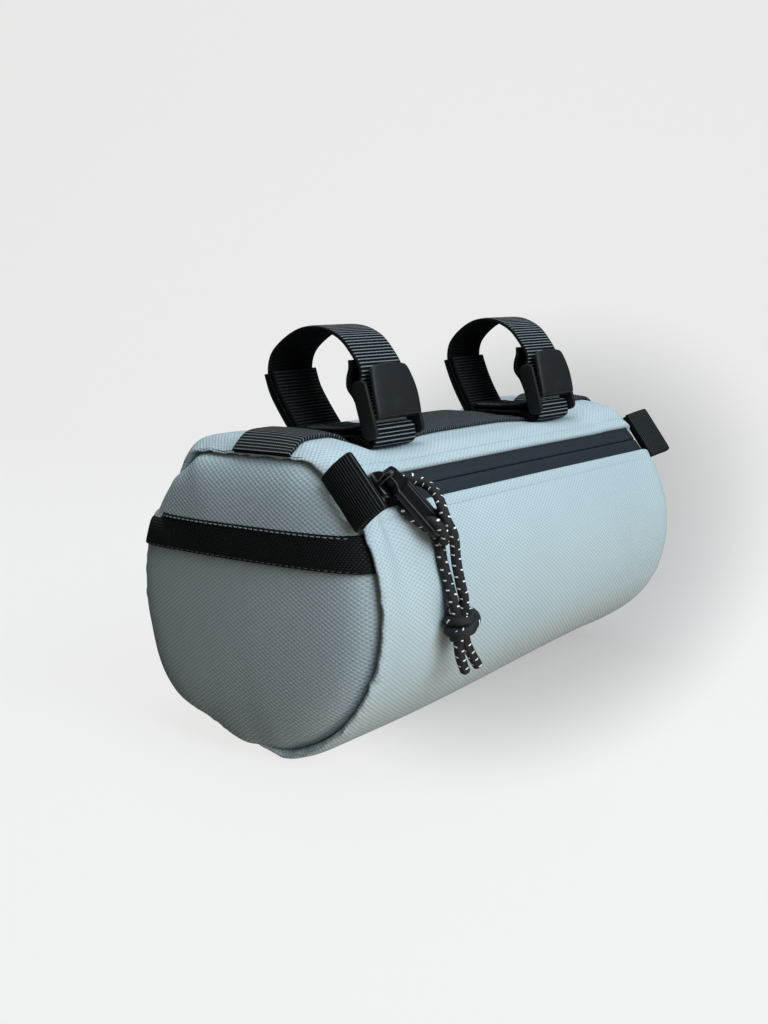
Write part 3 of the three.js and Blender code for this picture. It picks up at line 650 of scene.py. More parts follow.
SLIDER_X, SLIDER_ANGLE, SLIDER_LENGTH, SLIDER_WIDTH = -88.6, 42.4, 8.5, 10.5
SLIDER_SECTIONS = (  # radius, share of the outline
    (57.3, 0.86), (57.7, 0.97), (58.2, 1.0), (59.2, 1.0), (59.6, 0.9), (60.0, 0.9), (60.4, 1.0), (61.2, 1.0),
    (61.7, 0.96), (62.0, 0.86), (62.2, 0.6),
)
SLIDER_SQUARE = 0.6  # power of its outline's cosine and sine: 1 is an oval, less is squarer
BAIL = (  # along, radius
    (-3.4, 61.4), (-3.4, 65.0), (-2.9, 66.6), (-1.6, 67.7), (-0.4, 67.4), (0.0, 66.0), (0.0, 61.4),
)
BAIL_RADIUS = 1.05
PULLER_START = around_axis(-88.6, 42.4, 65.7)
PULLER_END = around_axis(-76.7, 21.5, 65.4)
PULLER_LENGTH = float(np.linalg.norm(PULLER_END - PULLER_START))
PULLER_ALONG = unit(PULLER_END - PULLER_START)
PULLER_ACROSS = unit(np.cross(outward((PULLER_START + PULLER_END) / 2), PULLER_ALONG))
PULLER_FACE = np.cross(PULLER_ALONG, PULLER_ACROSS)
PULLER_WIDTH, PULLER_NECK, PULLER_THICKNESS = 9.4, 6.0, 2.6
PULLER_EYE, PULLER_EYE_INSET = 2.2, 4.6
PULLER_SINK, PULLER_RAISE = 0.9, 0.35  # depth of its channel and eye, and height of its face
PULLER_RIM, PULLER_FLOOR = 1.2, 2.0  # from its edge: where the channel starts, and is full
PULLER_HEAD = 2.2  # how far from its start the channel's edge turns round
PULLER_WIDENS = (0.08, 0.18)  # shares of its length over which it widens from its neck
PULLER_SINKS = (0.16, 0.22)  # shares of its length over which the channel sinks
PULLER_THINS, PULLER_SOFT = 0.75, 12  # how thin its edges grow, and the power by which they do
EYE_SLOPE = 0.7
PULLER_LEAST = 0.04  # square of the least half width at its ends
EAR_INSET, EAR_ASIDE = 4.2, 5.0
EAR_SECTIONS = (  # radius, height
    (2.7, -1.2), (3.2, -0.8), (3.3, 0.0), (3.2, 0.8), (2.7, 1.3), (1.9, 1.3), (1.6, 0.7), (0.4, 0.6),
)


def make_slider():
    """A waisted block on the tape, its outline a rounded rectangle, with a bail over the puller's hole."""
    turn = np.radians(SLIDER_ANGLE)
    up = np.array([0, np.sin(turn), np.cos(turn)])
    around = circle(40)
    wave = np.stack([np.cos(around), np.sin(around)], 1)
    size = np.array([SLIDER_LENGTH, SLIDER_WIDTH])
    outline = np.sign(wave) * np.abs(wave) ** SLIDER_SQUARE * size / 2
    radius, share = np.array(SLIDER_SECTIONS).T[:, :, None]
    points = around_axis(SLIDER_X + share * outline[None, :, 0], SLIDER_ANGLE, radius)
    points = points + (share * outline[None, :, 1])[..., None] * up
    loft("slider_body", points, GLOSS, ("zip_slider",))
    bail = curve(BAIL, count=60)
    line = around_axis(SLIDER_X + bail[:, 0], SLIDER_ANGLE, bail[:, 1])
    tube("slider_bail", line, BAIL_RADIUS, up, GLOSS)


def make_puller():
    """A tongue with raised edges, a sunk channel and eye and round ends, and a round ear beside its eye."""
    half, neck, reach = PULLER_WIDTH / 2, PULLER_NECK / 2, PULLER_LENGTH
    a = -neck + (reach + neck) * (1 - np.cos(np.linspace(0, np.pi, 80))) / 2
    wide = neck + (half - neck) * step(*PULLER_WIDENS, a / reach)
    wide = np.where(a < 0, np.sqrt(np.maximum(neck**2 - a**2, PULLER_LEAST)), wide)
    past = np.maximum(a - (reach - half), 0)
    wide = np.minimum(wide, np.sqrt(np.maximum(half**2 - past**2, PULLER_LEAST)))
    share = crowded(45)
    a, b = a[:, None], wide[:, None] * share[None]
    body = PULLER_THICKNESS / 2 * np.sqrt(1 - PULLER_THINS * np.abs(share) ** PULLER_SOFT)[None]
    from_edge = half - np.hypot(np.maximum(np.maximum(a - (reach - half), PULLER_HEAD - a), 0), b)
    channel = step(PULLER_RIM, PULLER_FLOOR, from_edge) * step(*PULLER_SINKS, a / reach)
    from_eye = np.hypot(a - (reach - PULLER_EYE_INSET), b)
    eye = 1 - step(PULLER_EYE - EYE_SLOPE, PULLER_EYE, from_eye)
    top = body - PULLER_SINK * channel - PULLER_SINK * eye + PULLER_RAISE
    out = np.concatenate([top, -body[:, ::-1] + 0 * top], 1)[..., None]
    beside = np.concatenate([b, b[:, ::-1]], 1)[..., None]
    points = PULLER_START + a[..., None] * PULLER_ALONG + beside * PULLER_ACROSS + out * PULLER_FACE
    loft("puller_tongue", points, PULL, ("zip_puller",))
    around = circle(32)[None, :, None]
    radius, height = np.array(EAR_SECTIONS).T[:, :, None, None]
    middle = PULLER_START + (reach - EAR_INSET) * PULLER_ALONG + EAR_ASIDE * PULLER_ACROSS
    ring = np.cos(around) * PULLER_ALONG + np.sin(around) * PULLER_ACROSS
    loft("puller_ear", middle + radius * ring + height * PULLER_FACE, PULL)


# Barrel cloth


CLOTH_FORMS = (  # x, angle, reach along, reach round, height, power
    (-91.0, 15.0, 8.0, 14.0, -2.2, 2),  # fold by the zip's end
    (-93.0, 28.5, 3.6, 8.5, -2.0, 2),  # its pinch at the zip
    (10.0, 5.0, 70.0, 40.0, 1.0, 2),  # swell of the front
    (-57.0, 65.0, 16.0, 8.0, -1.5, 2),  # dips by the buckles
    (57.0, 65.0, 16.0, 8.0, -1.5, 2),
    (0.0, 97.0, 35.0, 26.0, 3.5, 6),  # swell between the loops
    (-91.0, 92.0, 14.5, 36.0, 6.0, 4),  # swells of the top
    (91.0, 92.0, 14.5, 36.0, 6.0, 4),
    (86.0, 290.0, 6.0, 20.0, -1.2, 2),  # dip before the right seam
)
SLACK_START, SLACK_FULL = 62.0, 100.0  # stretch of the barrel over which the back of the left end draws in
SLACK_SHIFT = 3.0  # how far its seam lies behind the front of the seam
SHIFT_MIDDLE, SHIFT_REACH = 180.0, 62.0
# Depths of the slack, and where it lies round the barrel: a middle and a reach, or where it starts and ends
BACK_SLACK, BACK_MIDDLE, BACK_REACH = 1.8, 165.0, 30.0
SHOULDER_SLACK, SHOULDER = 4.6, (116.0, 138.0, 148.0, 154.0)
UNDER_SLACK, UNDER = 4.7, (225.0, 250.0, 268.0, 287.0)
RIGHT_SLACK, RIGHT_MIDDLE, RIGHT_REACH = 4.3, 300.0, 27.0
RIGHT_START, RIGHT_FULL = -70.0, 90.0  # stretch of the barrel over which the lower front draws in
PUCKERS = ((37, 1.3, 0.5), (53, 0.7, 0.3), (23, 2.1, 0.4), (71, 4.0, 0.25))  # waves round, start, share
PUCKER = 0.4
ROLL_ANGLES = (-22.6, -21.4, 28.0, 34.0)  # stretch of the left seam where the lip stands as a roll
ROLL, ROLL_RISE = 0.6, 1.2
ROLL_GROOVE, GROOVE_REACH = 0.4, 0.5
ROLL_START = LIP_START + 5.0  # where the roll leaves the front
LIP_TURN = 164.0  # degrees that the rolled lip turns into the end seam
LIP_DROP = (BODY_RADIUS - SEAM_RADIUS) / 2  # fall of the roll to its end, where it turns back
LIP_FALL = LIP_DROP * (1 - np.cos(np.radians(LIP_TURN)))
TOP_SHARE = 0.1  # share of the lip's fall that the flat top takes part in
HEM_RADIUS = 1.3
HEM_TURN = 150.0
CLOTH_THICKNESS = 1.0


def barrel_radius(x, angle, drop=0.0):
    """Distance from the axis to the cloth: a circle cut by the flat top, with soft dents and swells."""
    rise = np.sin(np.radians(angle))
    round_part = BODY_RADIUS - drop
    flat = (TOP_HEIGHT - TOP_SHARE * drop - AXIS_HEIGHT) / np.maximum(rise, SIDE_RISE)
    cut = (round_part ** -CORNER_SHARPNESS + flat ** -CORNER_SHARPNESS) ** (-1 / CORNER_SHARPNESS)
    radius = np.where(rise > SIDE_RISE, cut, round_part)
    calm = np.clip(1 - drop / LIP_DROP, 0, 1)
    for at, middle, reach, reach_round, height, power in CLOTH_FORMS:
        turn = (angle - middle + 180) % 360 - 180
        away = np.abs((x - at) / reach) ** power + np.abs(turn / reach_round) ** power
        radius = radius + height * calm * np.exp(-away)
    return radius - end_slack(x, angle)


def end_slack(x, angle):
    """How far the cloth is drawn in: at the left end's back, above and under its band, and at the right."""
    turn = angle % 360
    back = BACK_SLACK * hill(turn, BACK_MIDDLE, BACK_REACH)
    shoulder = SHOULDER_SLACK * stretch(turn, *SHOULDER)
    under = UNDER_SLACK * stretch(turn, *UNDER)
    right = RIGHT_SLACK * hill(turn, RIGHT_MIDDLE, RIGHT_REACH) * step(RIGHT_START, RIGHT_FULL, x)
    return (back + shoulder + under) * step(SLACK_START, SLACK_FULL, -x) + right


def seam_shift(x, angle):
    """How far the cloth of the left end's back lies towards the middle of the barrel."""
    back = hill(angle % 360, SHIFT_MIDDLE, SHIFT_REACH, power=4)
    return SLACK_SHIFT * back * step(SLACK_START, SLACK_FULL, -x)


def above_floor(angle, radius):
    """A distance from the axis that doesn't pass the floor."""
    return np.minimum(radius, AXIS_HEIGHT / np.maximum(-np.sin(np.radians(angle)), SIDE_RISE))


def lip_stations(middle_steps, lip_steps):
    """x and the fall of the radius along the barrel: straight between the lips, then a roll into the seam."""
    turn = np.radians(np.linspace(0, LIP_TURN, lip_steps + 1))[1:]
    out = LIP_START + LIP_LENGTH * np.sin(turn)
    fall = LIP_DROP * (1 - np.cos(turn))
    middle = np.linspace(-LIP_START, LIP_START, middle_steps)
    x = np.concatenate([-out[::-1], middle, out])
    return x, np.concatenate([fall[::-1], np.zeros(middle_steps), fall])


def seam_puckers(x, angle, drop):
    """Small waves of the cloth by the seams, and a roll with a groove before it on part of the left one."""
    before_turn = 1 - step(LIP_DROP, LIP_FALL, drop)
    near = step(0, LIP_DROP, drop) * before_turn
    turn = np.radians(angle)
    waves = sum(share * np.sin(count * turn + start + np.sign(x)) for count, start, share in PUCKERS)
    stands = stretch(angle, *ROLL_ANGLES) * (x < 0)
    ridge = step(ROLL_START, ROLL_START + ROLL_RISE, -x) * before_turn
    groove = hill(-x, ROLL_START, GROOVE_REACH) * (drop < LIP_DROP)
    return PUCKER * near * waves + stands * (ROLL * ridge - ROLL_GROOVE * groove)


STITCH_INSET = 3.0
STITCH_SINK, SINK_REACH = 0.45, 0.8
STITCH_COUNT = 82  # along the zip
STITCH_LENGTH = 1.9
STITCH_RADIUS = 0.24
STITCH_PLACES = np.array([-1.0, -0.6, 0.0, 0.6, 1.0])  # along a stitch
STITCH_GIRTHS = np.array([0.5, 0.95, 1.0, 0.95, 0.5])
STITCH_SIDES = 6
STITCH_RISE, STITCH_DIP = 1.2, 2.2  # height of its middle, and fall to its ends, in its radius


def make_body_cloth():
    """The barrel's sheet: rows along x with rolled lips, columns from hem to hem round the barrel."""
    x, drop = lip_stations(190, 30)
    steps = np.linspace(ZIP_LOWER_EDGE, ZIP_UPPER_EDGE - 360, 300)
    hem = np.radians(np.linspace(0, HEM_TURN, 7))[1:]
    reach = np.degrees(HEM_RADIUS / BODY_RADIUS) * np.sin(hem)
    sink = HEM_RADIUS * (1 - np.cos(hem))
    angle = np.concatenate([(ZIP_LOWER_EDGE + reach)[::-1], steps, ZIP_UPPER_EDGE - 360 - reach])
    depth = np.concatenate([sink[::-1], np.zeros(len(steps)), sink])
    x, drop, angle, depth = x[:, None], drop[:, None], angle[None], depth[None]
    radius = barrel_radius(x, angle, drop) + seam_puckers(x, angle, drop) - depth
    for edge, away in ((ZIP_LOWER_EDGE, 1), (ZIP_UPPER_EDGE - 360, -1)):
        from_edge = np.radians(edge - angle) * away * BODY_RADIUS
        radius = radius - STITCH_SINK * hill(from_edge, STITCH_INSET, SINK_REACH)
    points = around_axis(x + seam_shift(x, angle), angle, above_floor(angle, radius))
    cloth = piece(
        "body_cloth", points[:, ::-1], CLOTH, ("body_panel",),
        uv=(lengths(np.stack([x[:, 0], drop[:, 0]], 1)), np.radians(angle[0, ::-1]) * BODY_RADIUS),
    )
    thicken(cloth, CLOTH_THICKNESS)
    run = np.linspace(-LIP_START + 1, LIP_START - 1, STITCH_COUNT)
    for name, edge, away in (("lower", ZIP_LOWER_EDGE, -1), ("upper", ZIP_UPPER_EDGE, 1)):
        turn = edge + away * np.degrees(STITCH_INSET / BODY_RADIUS)
        line = around_axis(run, turn, barrel_radius(run, turn) - STITCH_SINK)
        stitches(f"zip_topstitch_{name}", line, outward(line), PALE_THREAD)


def stitches(name, line, out, material):
    """A row of stitches along a line, each a short bent tube whose ends dip into the cloth."""
    ahead = unit(np.gradient(line, axis=0))
    side = np.cross(ahead, out)
    arch = STITCH_RADIUS * (STITCH_RISE - STITCH_DIP * STITCH_PLACES**4)[:, None]
    girth = STITCH_RADIUS * STITCH_GIRTHS[:, None]
    turn = circle(STITCH_SIDES)
    points = (
        line[:, None, None]
        + ahead[:, None, None] * (STITCH_PLACES * STITCH_LENGTH / 2)[None, :, None, None]
        + out[:, None, None] * (arch + girth * np.sin(turn))[None, :, :, None]
        + side[:, None, None] * (girth * np.cos(turn))[None, :, :, None]
    )
    rings = len(STITCH_PLACES)
    corners, _ = grid_faces(rings, STITCH_SIDES, closed=True)
    shift = (np.arange(len(line)) * rings * STITCH_SIDES)[:, None, None]
    quads = (corners[None] + shift).reshape(-1, 4)
    first = np.arange(STITCH_SIDES)
    ends = np.stack([first, (rings - 1) * STITCH_SIDES + first[::-1]])[None] + shift
    mesh = smooth_mesh(name, points, quads.tolist() + ends.reshape(-1, STITCH_SIDES).tolist())
    return show(name, mesh, material)


def thicken(made, thickness, outwards=False):
    """Gives a sheet its thickness, to the inside unless told otherwise."""
    solid = made.modifiers.new("thickness", "SOLIDIFY")
    solid.thickness = thickness * MM
    solid.offset = 1 if outwards else -1
    solid.use_rim = True


# Ends


PANEL_GAP = 0.2
PANEL_SEAT = LIP_START + LIP_LENGTH * np.sin(np.radians(LIP_TURN)) + PANEL_GAP  # rim of a panel, in the seam
PANEL_RIM, PANEL_CROWN, PANEL_ROOT = 8.8, 3.0, 2.8
PANEL_POWER, PANEL_BACK_POWER = 7.0, 16.0  # how late the pad falls to its seam, and at the back of the left
PAD_OVERHANG, PAD_SAG, PAD_SHOULDER = 4.4, 3.0, 6.0
PAD_BELOW, PAD_ABOVE = (196.0, 222.0, 266.0, 292.0), (121.0, 135.0, 149.0, 155.0)
SAG_MIDDLE, SAG_REACH = 265.0, 13.0
PAD_SWELL, PAD_TUCK = 6, 40  # powers by which the overhang grows towards the rim, and ends there
BAND_HEIGHT, BAND_MIDDLE = 12.0, 77.5
BAND_THICKNESS, BAND_SEAT, BAND_GAP = 1.4, 0.15, 0.1
BAND_STITCHES, BAND_STITCH_INSET, BAND_STITCH_SHARE = 40, 0.6, 0.97


def panel_edge(angle, side):
    """Outline of an end panel: where the lip ends."""
    return above_floor(angle, barrel_radius(side * END, angle, LIP_FALL))


def panel_x(y, z, side):
    """Pad of an end panel: a low crown that falls steeply to the seam round its rim."""
    angle = np.degrees(np.arctan2(z - AXIS_HEIGHT, -y))
    share = np.clip(np.hypot(y, z - AXIS_HEIGHT) / panel_edge(angle, side), 0, 1)
    shift = seam_shift(side * END, angle)
    power = PANEL_POWER + (PANEL_BACK_POWER - PANEL_POWER) * shift / SLACK_SHIFT
    pad = (1 - share**power) ** (1 / PANEL_ROOT)
    return PANEL_SEAT - shift * (1 - pad) + PANEL_RIM * pad + PANEL_CROWN * (1 - share**2)


def pad_overhang(angle, share, side):
    """How far the left end's pad hangs over its seam, by its rim: above the band, at the back and below."""
    turn = angle % 360
    below = PAD_OVERHANG + PAD_SAG * hill(turn, SAG_MIDDLE, SAG_REACH)
    reach = below * stretch(turn, *PAD_BELOW) + PAD_SHOULDER * stretch(turn, *PAD_ABOVE)
    return reach * (side < 0) * share**PAD_SWELL * np.sqrt(1 - np.clip(share, 0, 1) ** PAD_TUCK)


def end_sheet(name, points, side, material, node):
    """A sheet on an end, its rows turned round on the left so that it faces outwards."""
    points = points[::side]
    return piece(name, points, material, (node,), uv=(points[..., 1], points[..., 2]))


def make_ends():
    """Each panel is a square grid drawn onto its outline and crowned outwards, with a band across it."""
    a, b = np.meshgrid(crowded(110), crowded(110), indexing="ij")
    u, v = a * np.sqrt(1 - b * b / 2), b * np.sqrt(1 - a * a / 2)
    angle = np.degrees(np.arctan2(v, -u))
    for name, side in SIDES:
        edge = panel_edge(angle, side)
        y, rise = edge * u, edge * v
        over = 1 + pad_overhang(angle, np.hypot(u, v), side) / edge
        x = side * panel_x(y, AXIS_HEIGHT + rise, side)
        points = np.stack([x, y * over, AXIS_HEIGHT + rise * over], -1)
        panel = end_sheet(f"end_cloth_{name}", points, side, CLOTH, f"end_panel_{name}")
        thicken(panel, CLOTH_THICKNESS)
        make_end_band(name, side)


def make_end_band(name, side):
    """Webbing level across an end, with a row of stitches along each of its edges."""
    height = np.linspace(BAND_MIDDLE - BAND_HEIGHT / 2, BAND_MIDDLE + BAND_HEIGHT / 2, 15)[None]
    front, back = band_reach(height, side)
    run = -front + (front + back) * (1 + crowded(200)[:, None]) / 2
    points = np.stack([side * (panel_x(run, height, side) + BAND_SEAT), run, height + 0 * run], -1)
    webbing = end_sheet(f"end_webbing_{name}", points, side, FLAT_WEB, f"end_band_{name}")
    thicken(webbing, BAND_THICKNESS, outwards=True)
    for edge, thread in ((-1, BLACK_THREAD), (1, GREY_THREAD)):
        level = BAND_MIDDLE + edge * (BAND_HEIGHT / 2 - BAND_STITCH_INSET)
        front, back = band_reach(level, side)
        run = np.linspace(-BAND_STITCH_SHARE * front, BAND_STITCH_SHARE * back, BAND_STITCHES)
        x = side * (panel_x(run, level, side) + BAND_SEAT + BAND_THICKNESS)
        line = np.stack([x, run, level + 0 * run], 1)
        out = np.tile([side, 0.0, 0.0], (BAND_STITCHES, 1))
        stitches(f"end_stitch_{name}_{edge + 1}", line, out, thread)


def band_reach(height, side):
    """How far an end band reaches to the front and to the back at a height: it ends in the seam."""
    angle = np.degrees(np.arcsin((height - AXIS_HEIGHT) / SEAM_RADIUS))
    ahead = np.cos(np.radians(angle))
    return tuple(panel_edge(turn, side) * ahead - BAND_GAP for turn in (angle, 180 - angle))


# Webbing


RIB_HEIGHT, TAB_RIB_HEIGHT = 0.3, 0.2
RIBBON_POINTS = 15  # across each face
RIB_INSET = 0.01  # least distance of a rib from the round edge


def ribbon(
    name, line, across, width, thickness, material, nodes=(), rib=RIB, rib_height=RIB_HEIGHT, loop=False
):
    """A flat section with round edges carried along a line, its faces standing out by ribs across it."""
    line, across = np.asarray(line, float), unit(np.asarray(across, float))
    ahead = unit(np.gradient(line, axis=0))
    face = unit(np.cross(across, ahead))
    far = lengths(line)
    half, edge = width / 2, thickness / 2
    flat = np.linspace(-1, 1, RIBBON_POINTS) * (half - edge)
    bend = np.radians(np.linspace(-90, 90, 7)[1:-1])
    side = np.concatenate([flat, half - edge + edge * np.cos(bend)])
    lift = np.concatenate([np.full(RIBBON_POINTS, -1.0), np.sin(bend)])
    side = np.concatenate([side, -side])
    lift = np.concatenate([lift, -lift])
    inside = np.abs(side) < half - edge - RIB_INSET
    ribs = rib_height * (np.abs(np.sin(np.pi * far / rib)) - 0.5)
    stand = edge + inside[None] * ribs[:, None]
    points = (
        line[:, None]
        + across[None, None] * side[None, :, None]
        + face[:, None] * (lift[None] * stand)[..., None]
    )
    # On a loop, the inner side is marked across, so that its finish gives it painted shade
    if loop:
        inward = np.sign(np.sum(face * (line.mean(0) - line)))
        side = side + INNER_SIDE * (lift * inward > 0.9)
    spread = np.concatenate([side, side[:1]])
    return piece(name, points, material, nodes, closed=True, uv=(far, spread))


TOP_WEBBING_MIDDLE, TOP_WEBBING_WIDTH, TOP_WEBBING, TOP_WEBBING_SEAT = -6.75, 25.5, 1.4, 0.3
TOP_WEBBING_POINTS = 25  # across it
TOP_TRIES = 8


def top_height(x, y, drop):
    """Height of the cloth over a place on the flat top, found by turning towards it a few times."""
    angle = np.full(np.broadcast(x, y, drop).shape, 90.0)
    for _ in range(TOP_TRIES):
        radius = barrel_radius(x, angle, drop)
        angle = np.degrees(np.arccos(np.clip(-y / radius, -1, 1)))
    return AXIS_HEIGHT + barrel_radius(x, angle, drop) * np.sin(np.radians(angle))


def make_top_webbing():
    """Webbing along the flat top, following the cloth over the swells and down over the lips."""
    x, drop = lip_stations(240, 16)
    keep = np.append(True, np.diff(x) > 0) & np.append(np.diff(x) > 0, True)
    x, drop = x[keep][:, None], drop[keep][:, None]
    across = np.linspace(-1, 1, TOP_WEBBING_POINTS)[None]
    y = TOP_WEBBING_MIDDLE + across * TOP_WEBBING_WIDTH / 2
    z = top_height(x, y, drop) + TOP_WEBBING_SEAT
    points = np.stack([x + 0 * y, y + 0 * x, z], -1)
    far = lengths(points[:, TOP_WEBBING_POINTS // 2])
    webbing = piece("top_band", points, TOP_WEB, ("top_webbing",), uv=(far, y[0]))
    thicken(webbing, TOP_WEBBING, outwards=True)


STRAP_LINES = {  # y, z from the rear end over the loop
    "left": (
        (9.8, 110.6), (15.6, 118.3), (20.1, 125.3), (22.5, 132.0), (20.9, 138.6), (14.4, 144.5),
        (6.0, 148.3), (-3.3, 148.5), (-11.5, 145.2), (-17.3, 139.2), (-20.2, 134.6),
    ),
    "right": (
        (8.8, 110.8), (13.4, 118.4), (16.8, 125.4), (19.3, 132.0), (18.3, 138.4), (13.0, 144.3),
        (5.6, 148.3), (-3.4, 148.8), (-11.6, 145.4), (-17.4, 139.2), (-20.2, 134.6),
    ),
}
STRAP_IN_BUCKLE = ((18.2, 2.0), (12.5, 0.9))  # up, out
STRAP_TAIL = ((-17.6, 124.2), (-14.8, 127.8), (-14.7, 131.2), (-15.6, 134.6), (-15.6, 137.6))
FRONT_FOOT = ((4.0, 109.9), (-10.0, 109.9), (-17.5, 109.9), (-21.6, 108.2), (-24.2, 107.3), (-26.2, 108.8))
FRONT_RETURN = ((-16.5, 113.2), (-9.0, 112.4), (-2.0, 112.1), (2.4, 112.0), (5.2, 112.3))
ANCHOR_ROWS = 4  # of the strap's points, along which the rear anchor lies
LEAF_GAP, LEAF_DROP, WRAP_GAP = 0.6, 0.3, 0.3
BUCKLE_BAR = np.array([-23.5, 112.0])
BUCKLE_TILT = 16.5
BAR_RADIUS = 1.6
BACK_BAR_UP, BACK_BAR_OUT, BACK_BAR_RADIUS = 8.0, 0.5, 0.9
TURN_RADIUS = BACK_BAR_RADIUS + WRAP_GAP + STRAP / 2
WRAP_RADIUS = BAR_RADIUS + WRAP_GAP + STRAP / 2
WRAP_START, WRAP_END = -180.0, -275.0
UP = np.array([np.sin(np.radians(BUCKLE_TILT)), np.cos(np.radians(BUCKLE_TILT))])
OUT = np.array([-UP[1], UP[0]])


def in_buckle(up, out):
    """A point of the loop's plane, from its place along and out from the buckle."""
    return BUCKLE_BAR + np.multiply.outer(up, UP) + np.multiply.outer(out, OUT)


def arc(centre, radius, start, stop, count):
    """Points on a circle from one angle to another, in degrees."""
    turn = np.radians(np.linspace(start, stop, count))
    return np.asarray(centre) + radius * np.stack([np.cos(turn), np.sin(turn)], 1)


def in_plane(line, x):
    """A line of the loop's plane at a place along the barrel."""
    return np.column_stack([np.full(len(line), x), line])


def strap_line(rows):
    """Over the loop, down between cam and bars, round the back bar and up again as the tail."""
    bar = in_buckle(BACK_BAR_UP, BACK_BAR_OUT)
    lean = 90 - BUCKLE_TILT
    turn = arc(bar, TURN_RADIUS, lean + 90, lean + 270, count=13)
    down = [in_buckle(up, out) for up, out in STRAP_IN_BUCKLE]
    return curve(np.vstack([rows, down, turn, STRAP_TAIL]), count=720)


def rear_anchor_line(strap):
    """Folded webbing: one leaf on each side of the strap's rear end, with the fold below it."""
    rows = np.array(strap[:ANCHOR_ROWS])
    ahead = unit(np.gradient(rows, axis=0))
    spread = STRAP + LEAF_GAP
    away = np.stack([ahead[:, 1], -ahead[:, 0]], 1) * spread
    first = np.degrees(np.arctan2(-ahead[0, 0], ahead[0, 1]))
    fold = arc(rows[0] - ahead[0] * LEAF_DROP, spread, first, first - 180, count=9)
    return curve(np.vstack([(rows + away)[::-1], fold, rows - away]), count=360)


def front_anchor_line():
    """Webbing that lies on the top band, goes round the buckle's lower bar and back over itself."""
    wrap = arc(BUCKLE_BAR, WRAP_RADIUS, WRAP_START, WRAP_END, count=16)
    return curve(np.vstack([FRONT_FOOT, wrap, FRONT_RETURN]), count=480)


# Cam buckles


def loft(name, sections, material, nodes=()):
    """Closed sections carried through space, with flat ends."""
    return piece(name, sections, material, nodes, closed=True)


def rounded_outline(size, corner, per_corner):
    """Corners of a rectangle drawn as arcs, counter-clockwise about its middle."""
    signs = np.array([(1, 1), (-1, 1), (-1, -1), (1, -1)])
    middles = signs * (size / 2 - corner)
    quarters = [arc(middle, corner, 90 * k, 90 * k + 90, per_corner) for k, middle in enumerate(middles)]
    return np.concatenate(quarters)


def buckle_space(x, along_bar, up, out):
    """Places in a buckle's own axes to the barrel's frame."""
    up, out, along_bar = np.broadcast_arrays(up, out, along_bar)
    plane = in_buckle(up, out)
    return np.stack([x + along_bar, plane[..., 0], plane[..., 1]], -1)


RAIL_BACK, RAIL_FRONT, RAIL_BOTTOM, RAIL_TOP, RAIL_ROUND = -0.6, 5.9, -2.8, 18.5, 2.4
RAIL_INNER, RAIL_THICKNESS = 13.1, 1.6
RAIL_EDGE = 0.5
EDGE_ROUND = ((1.0, 0.0), (0.45, 0.12), (0.12, 0.45), (0.0, 1.0))  # inset and depth, as shares of the edge
BARS = (  # radius, up, out: the lower bar, the back bar and the cam's bar
    (BAR_RADIUS, 0.0, 0.0), (BACK_BAR_RADIUS, BACK_BAR_UP, BACK_BAR_OUT), (0.8, 4.4, 4.2),
)


def make_buckle(name, x):
    """Two side rails with rounded edges joined by bars, and a crowned lever plate between them."""
    size = np.array([RAIL_FRONT - RAIL_BACK, RAIL_TOP - RAIL_BOTTOM])
    middle_out, middle_up = (RAIL_FRONT + RAIL_BACK) / 2, (RAIL_TOP + RAIL_BOTTOM) / 2
    outline = rounded_outline(size, RAIL_ROUND, per_corner=8)
    edge = np.array(EDGE_ROUND) * RAIL_EDGE
    inset = np.concatenate([edge[:, 0], edge[::-1, 0]])
    depth = np.concatenate([edge[:, 1], RAIL_THICKNESS - edge[::-1, 1]])
    ring = outline[None] * (1 - inset[:, None, None] * 2 / size)
    up, out = middle_up + ring[..., 1], middle_out + ring[..., 0]
    for k, start in enumerate((-RAIL_INNER - RAIL_THICKNESS, RAIL_INNER)):
        sections = buckle_space(x, (start + depth)[:, None], up, out)
        rail = loft(f"buckle_rail_{name}_{k}", sections[:, ::-1], RAIL)
        if k == 0:
            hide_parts(f"buckle_frame_{name}")
    turn = circle(20)[None]
    ends = np.linspace(-RAIL_INNER, RAIL_INNER, 3)[:, None]
    for k, (radius, up, out) in enumerate(BARS):
        sections = buckle_space(x, ends, up + radius * np.cos(turn), out + radius * np.sin(turn))
        loft(f"buckle_bar_{name}_{k}", sections, RAIL)
    make_lever(name, x)


LEVER_BOTTOM, LEVER_TOP, LEVER_WIDTH, LEVER_TOP_WIDTH = 4.0, 22.8, 25.6, 20.5
LEVER_OUT, LEVER_THICKNESS, LEVER_CROWN = 5.4, 2.2, 0.4
LEVER_BOW = 0.6  # how far the plate bows outwards along its height
LEVER_NARROW, LEVER_ROUND = 0.35, 0.86  # shares of its height where it starts to narrow and to round off
LEVER_CORNER, LEVER_ARCH = 1.6, 0.7  # how far its top corners draw in, and its top edge rises
LEVER_TAPER, LEVER_SOFT = 1.7, 14  # powers by which it narrows, and its sides grow thin
LEVER_END = 0.05  # share of its height over which an end grows thin
LEVER_THIN_END, LEVER_THIN_SIDE = 0.35, 0.3  # shares of its thickness that are left there
NEARLY_ONE = 0.999


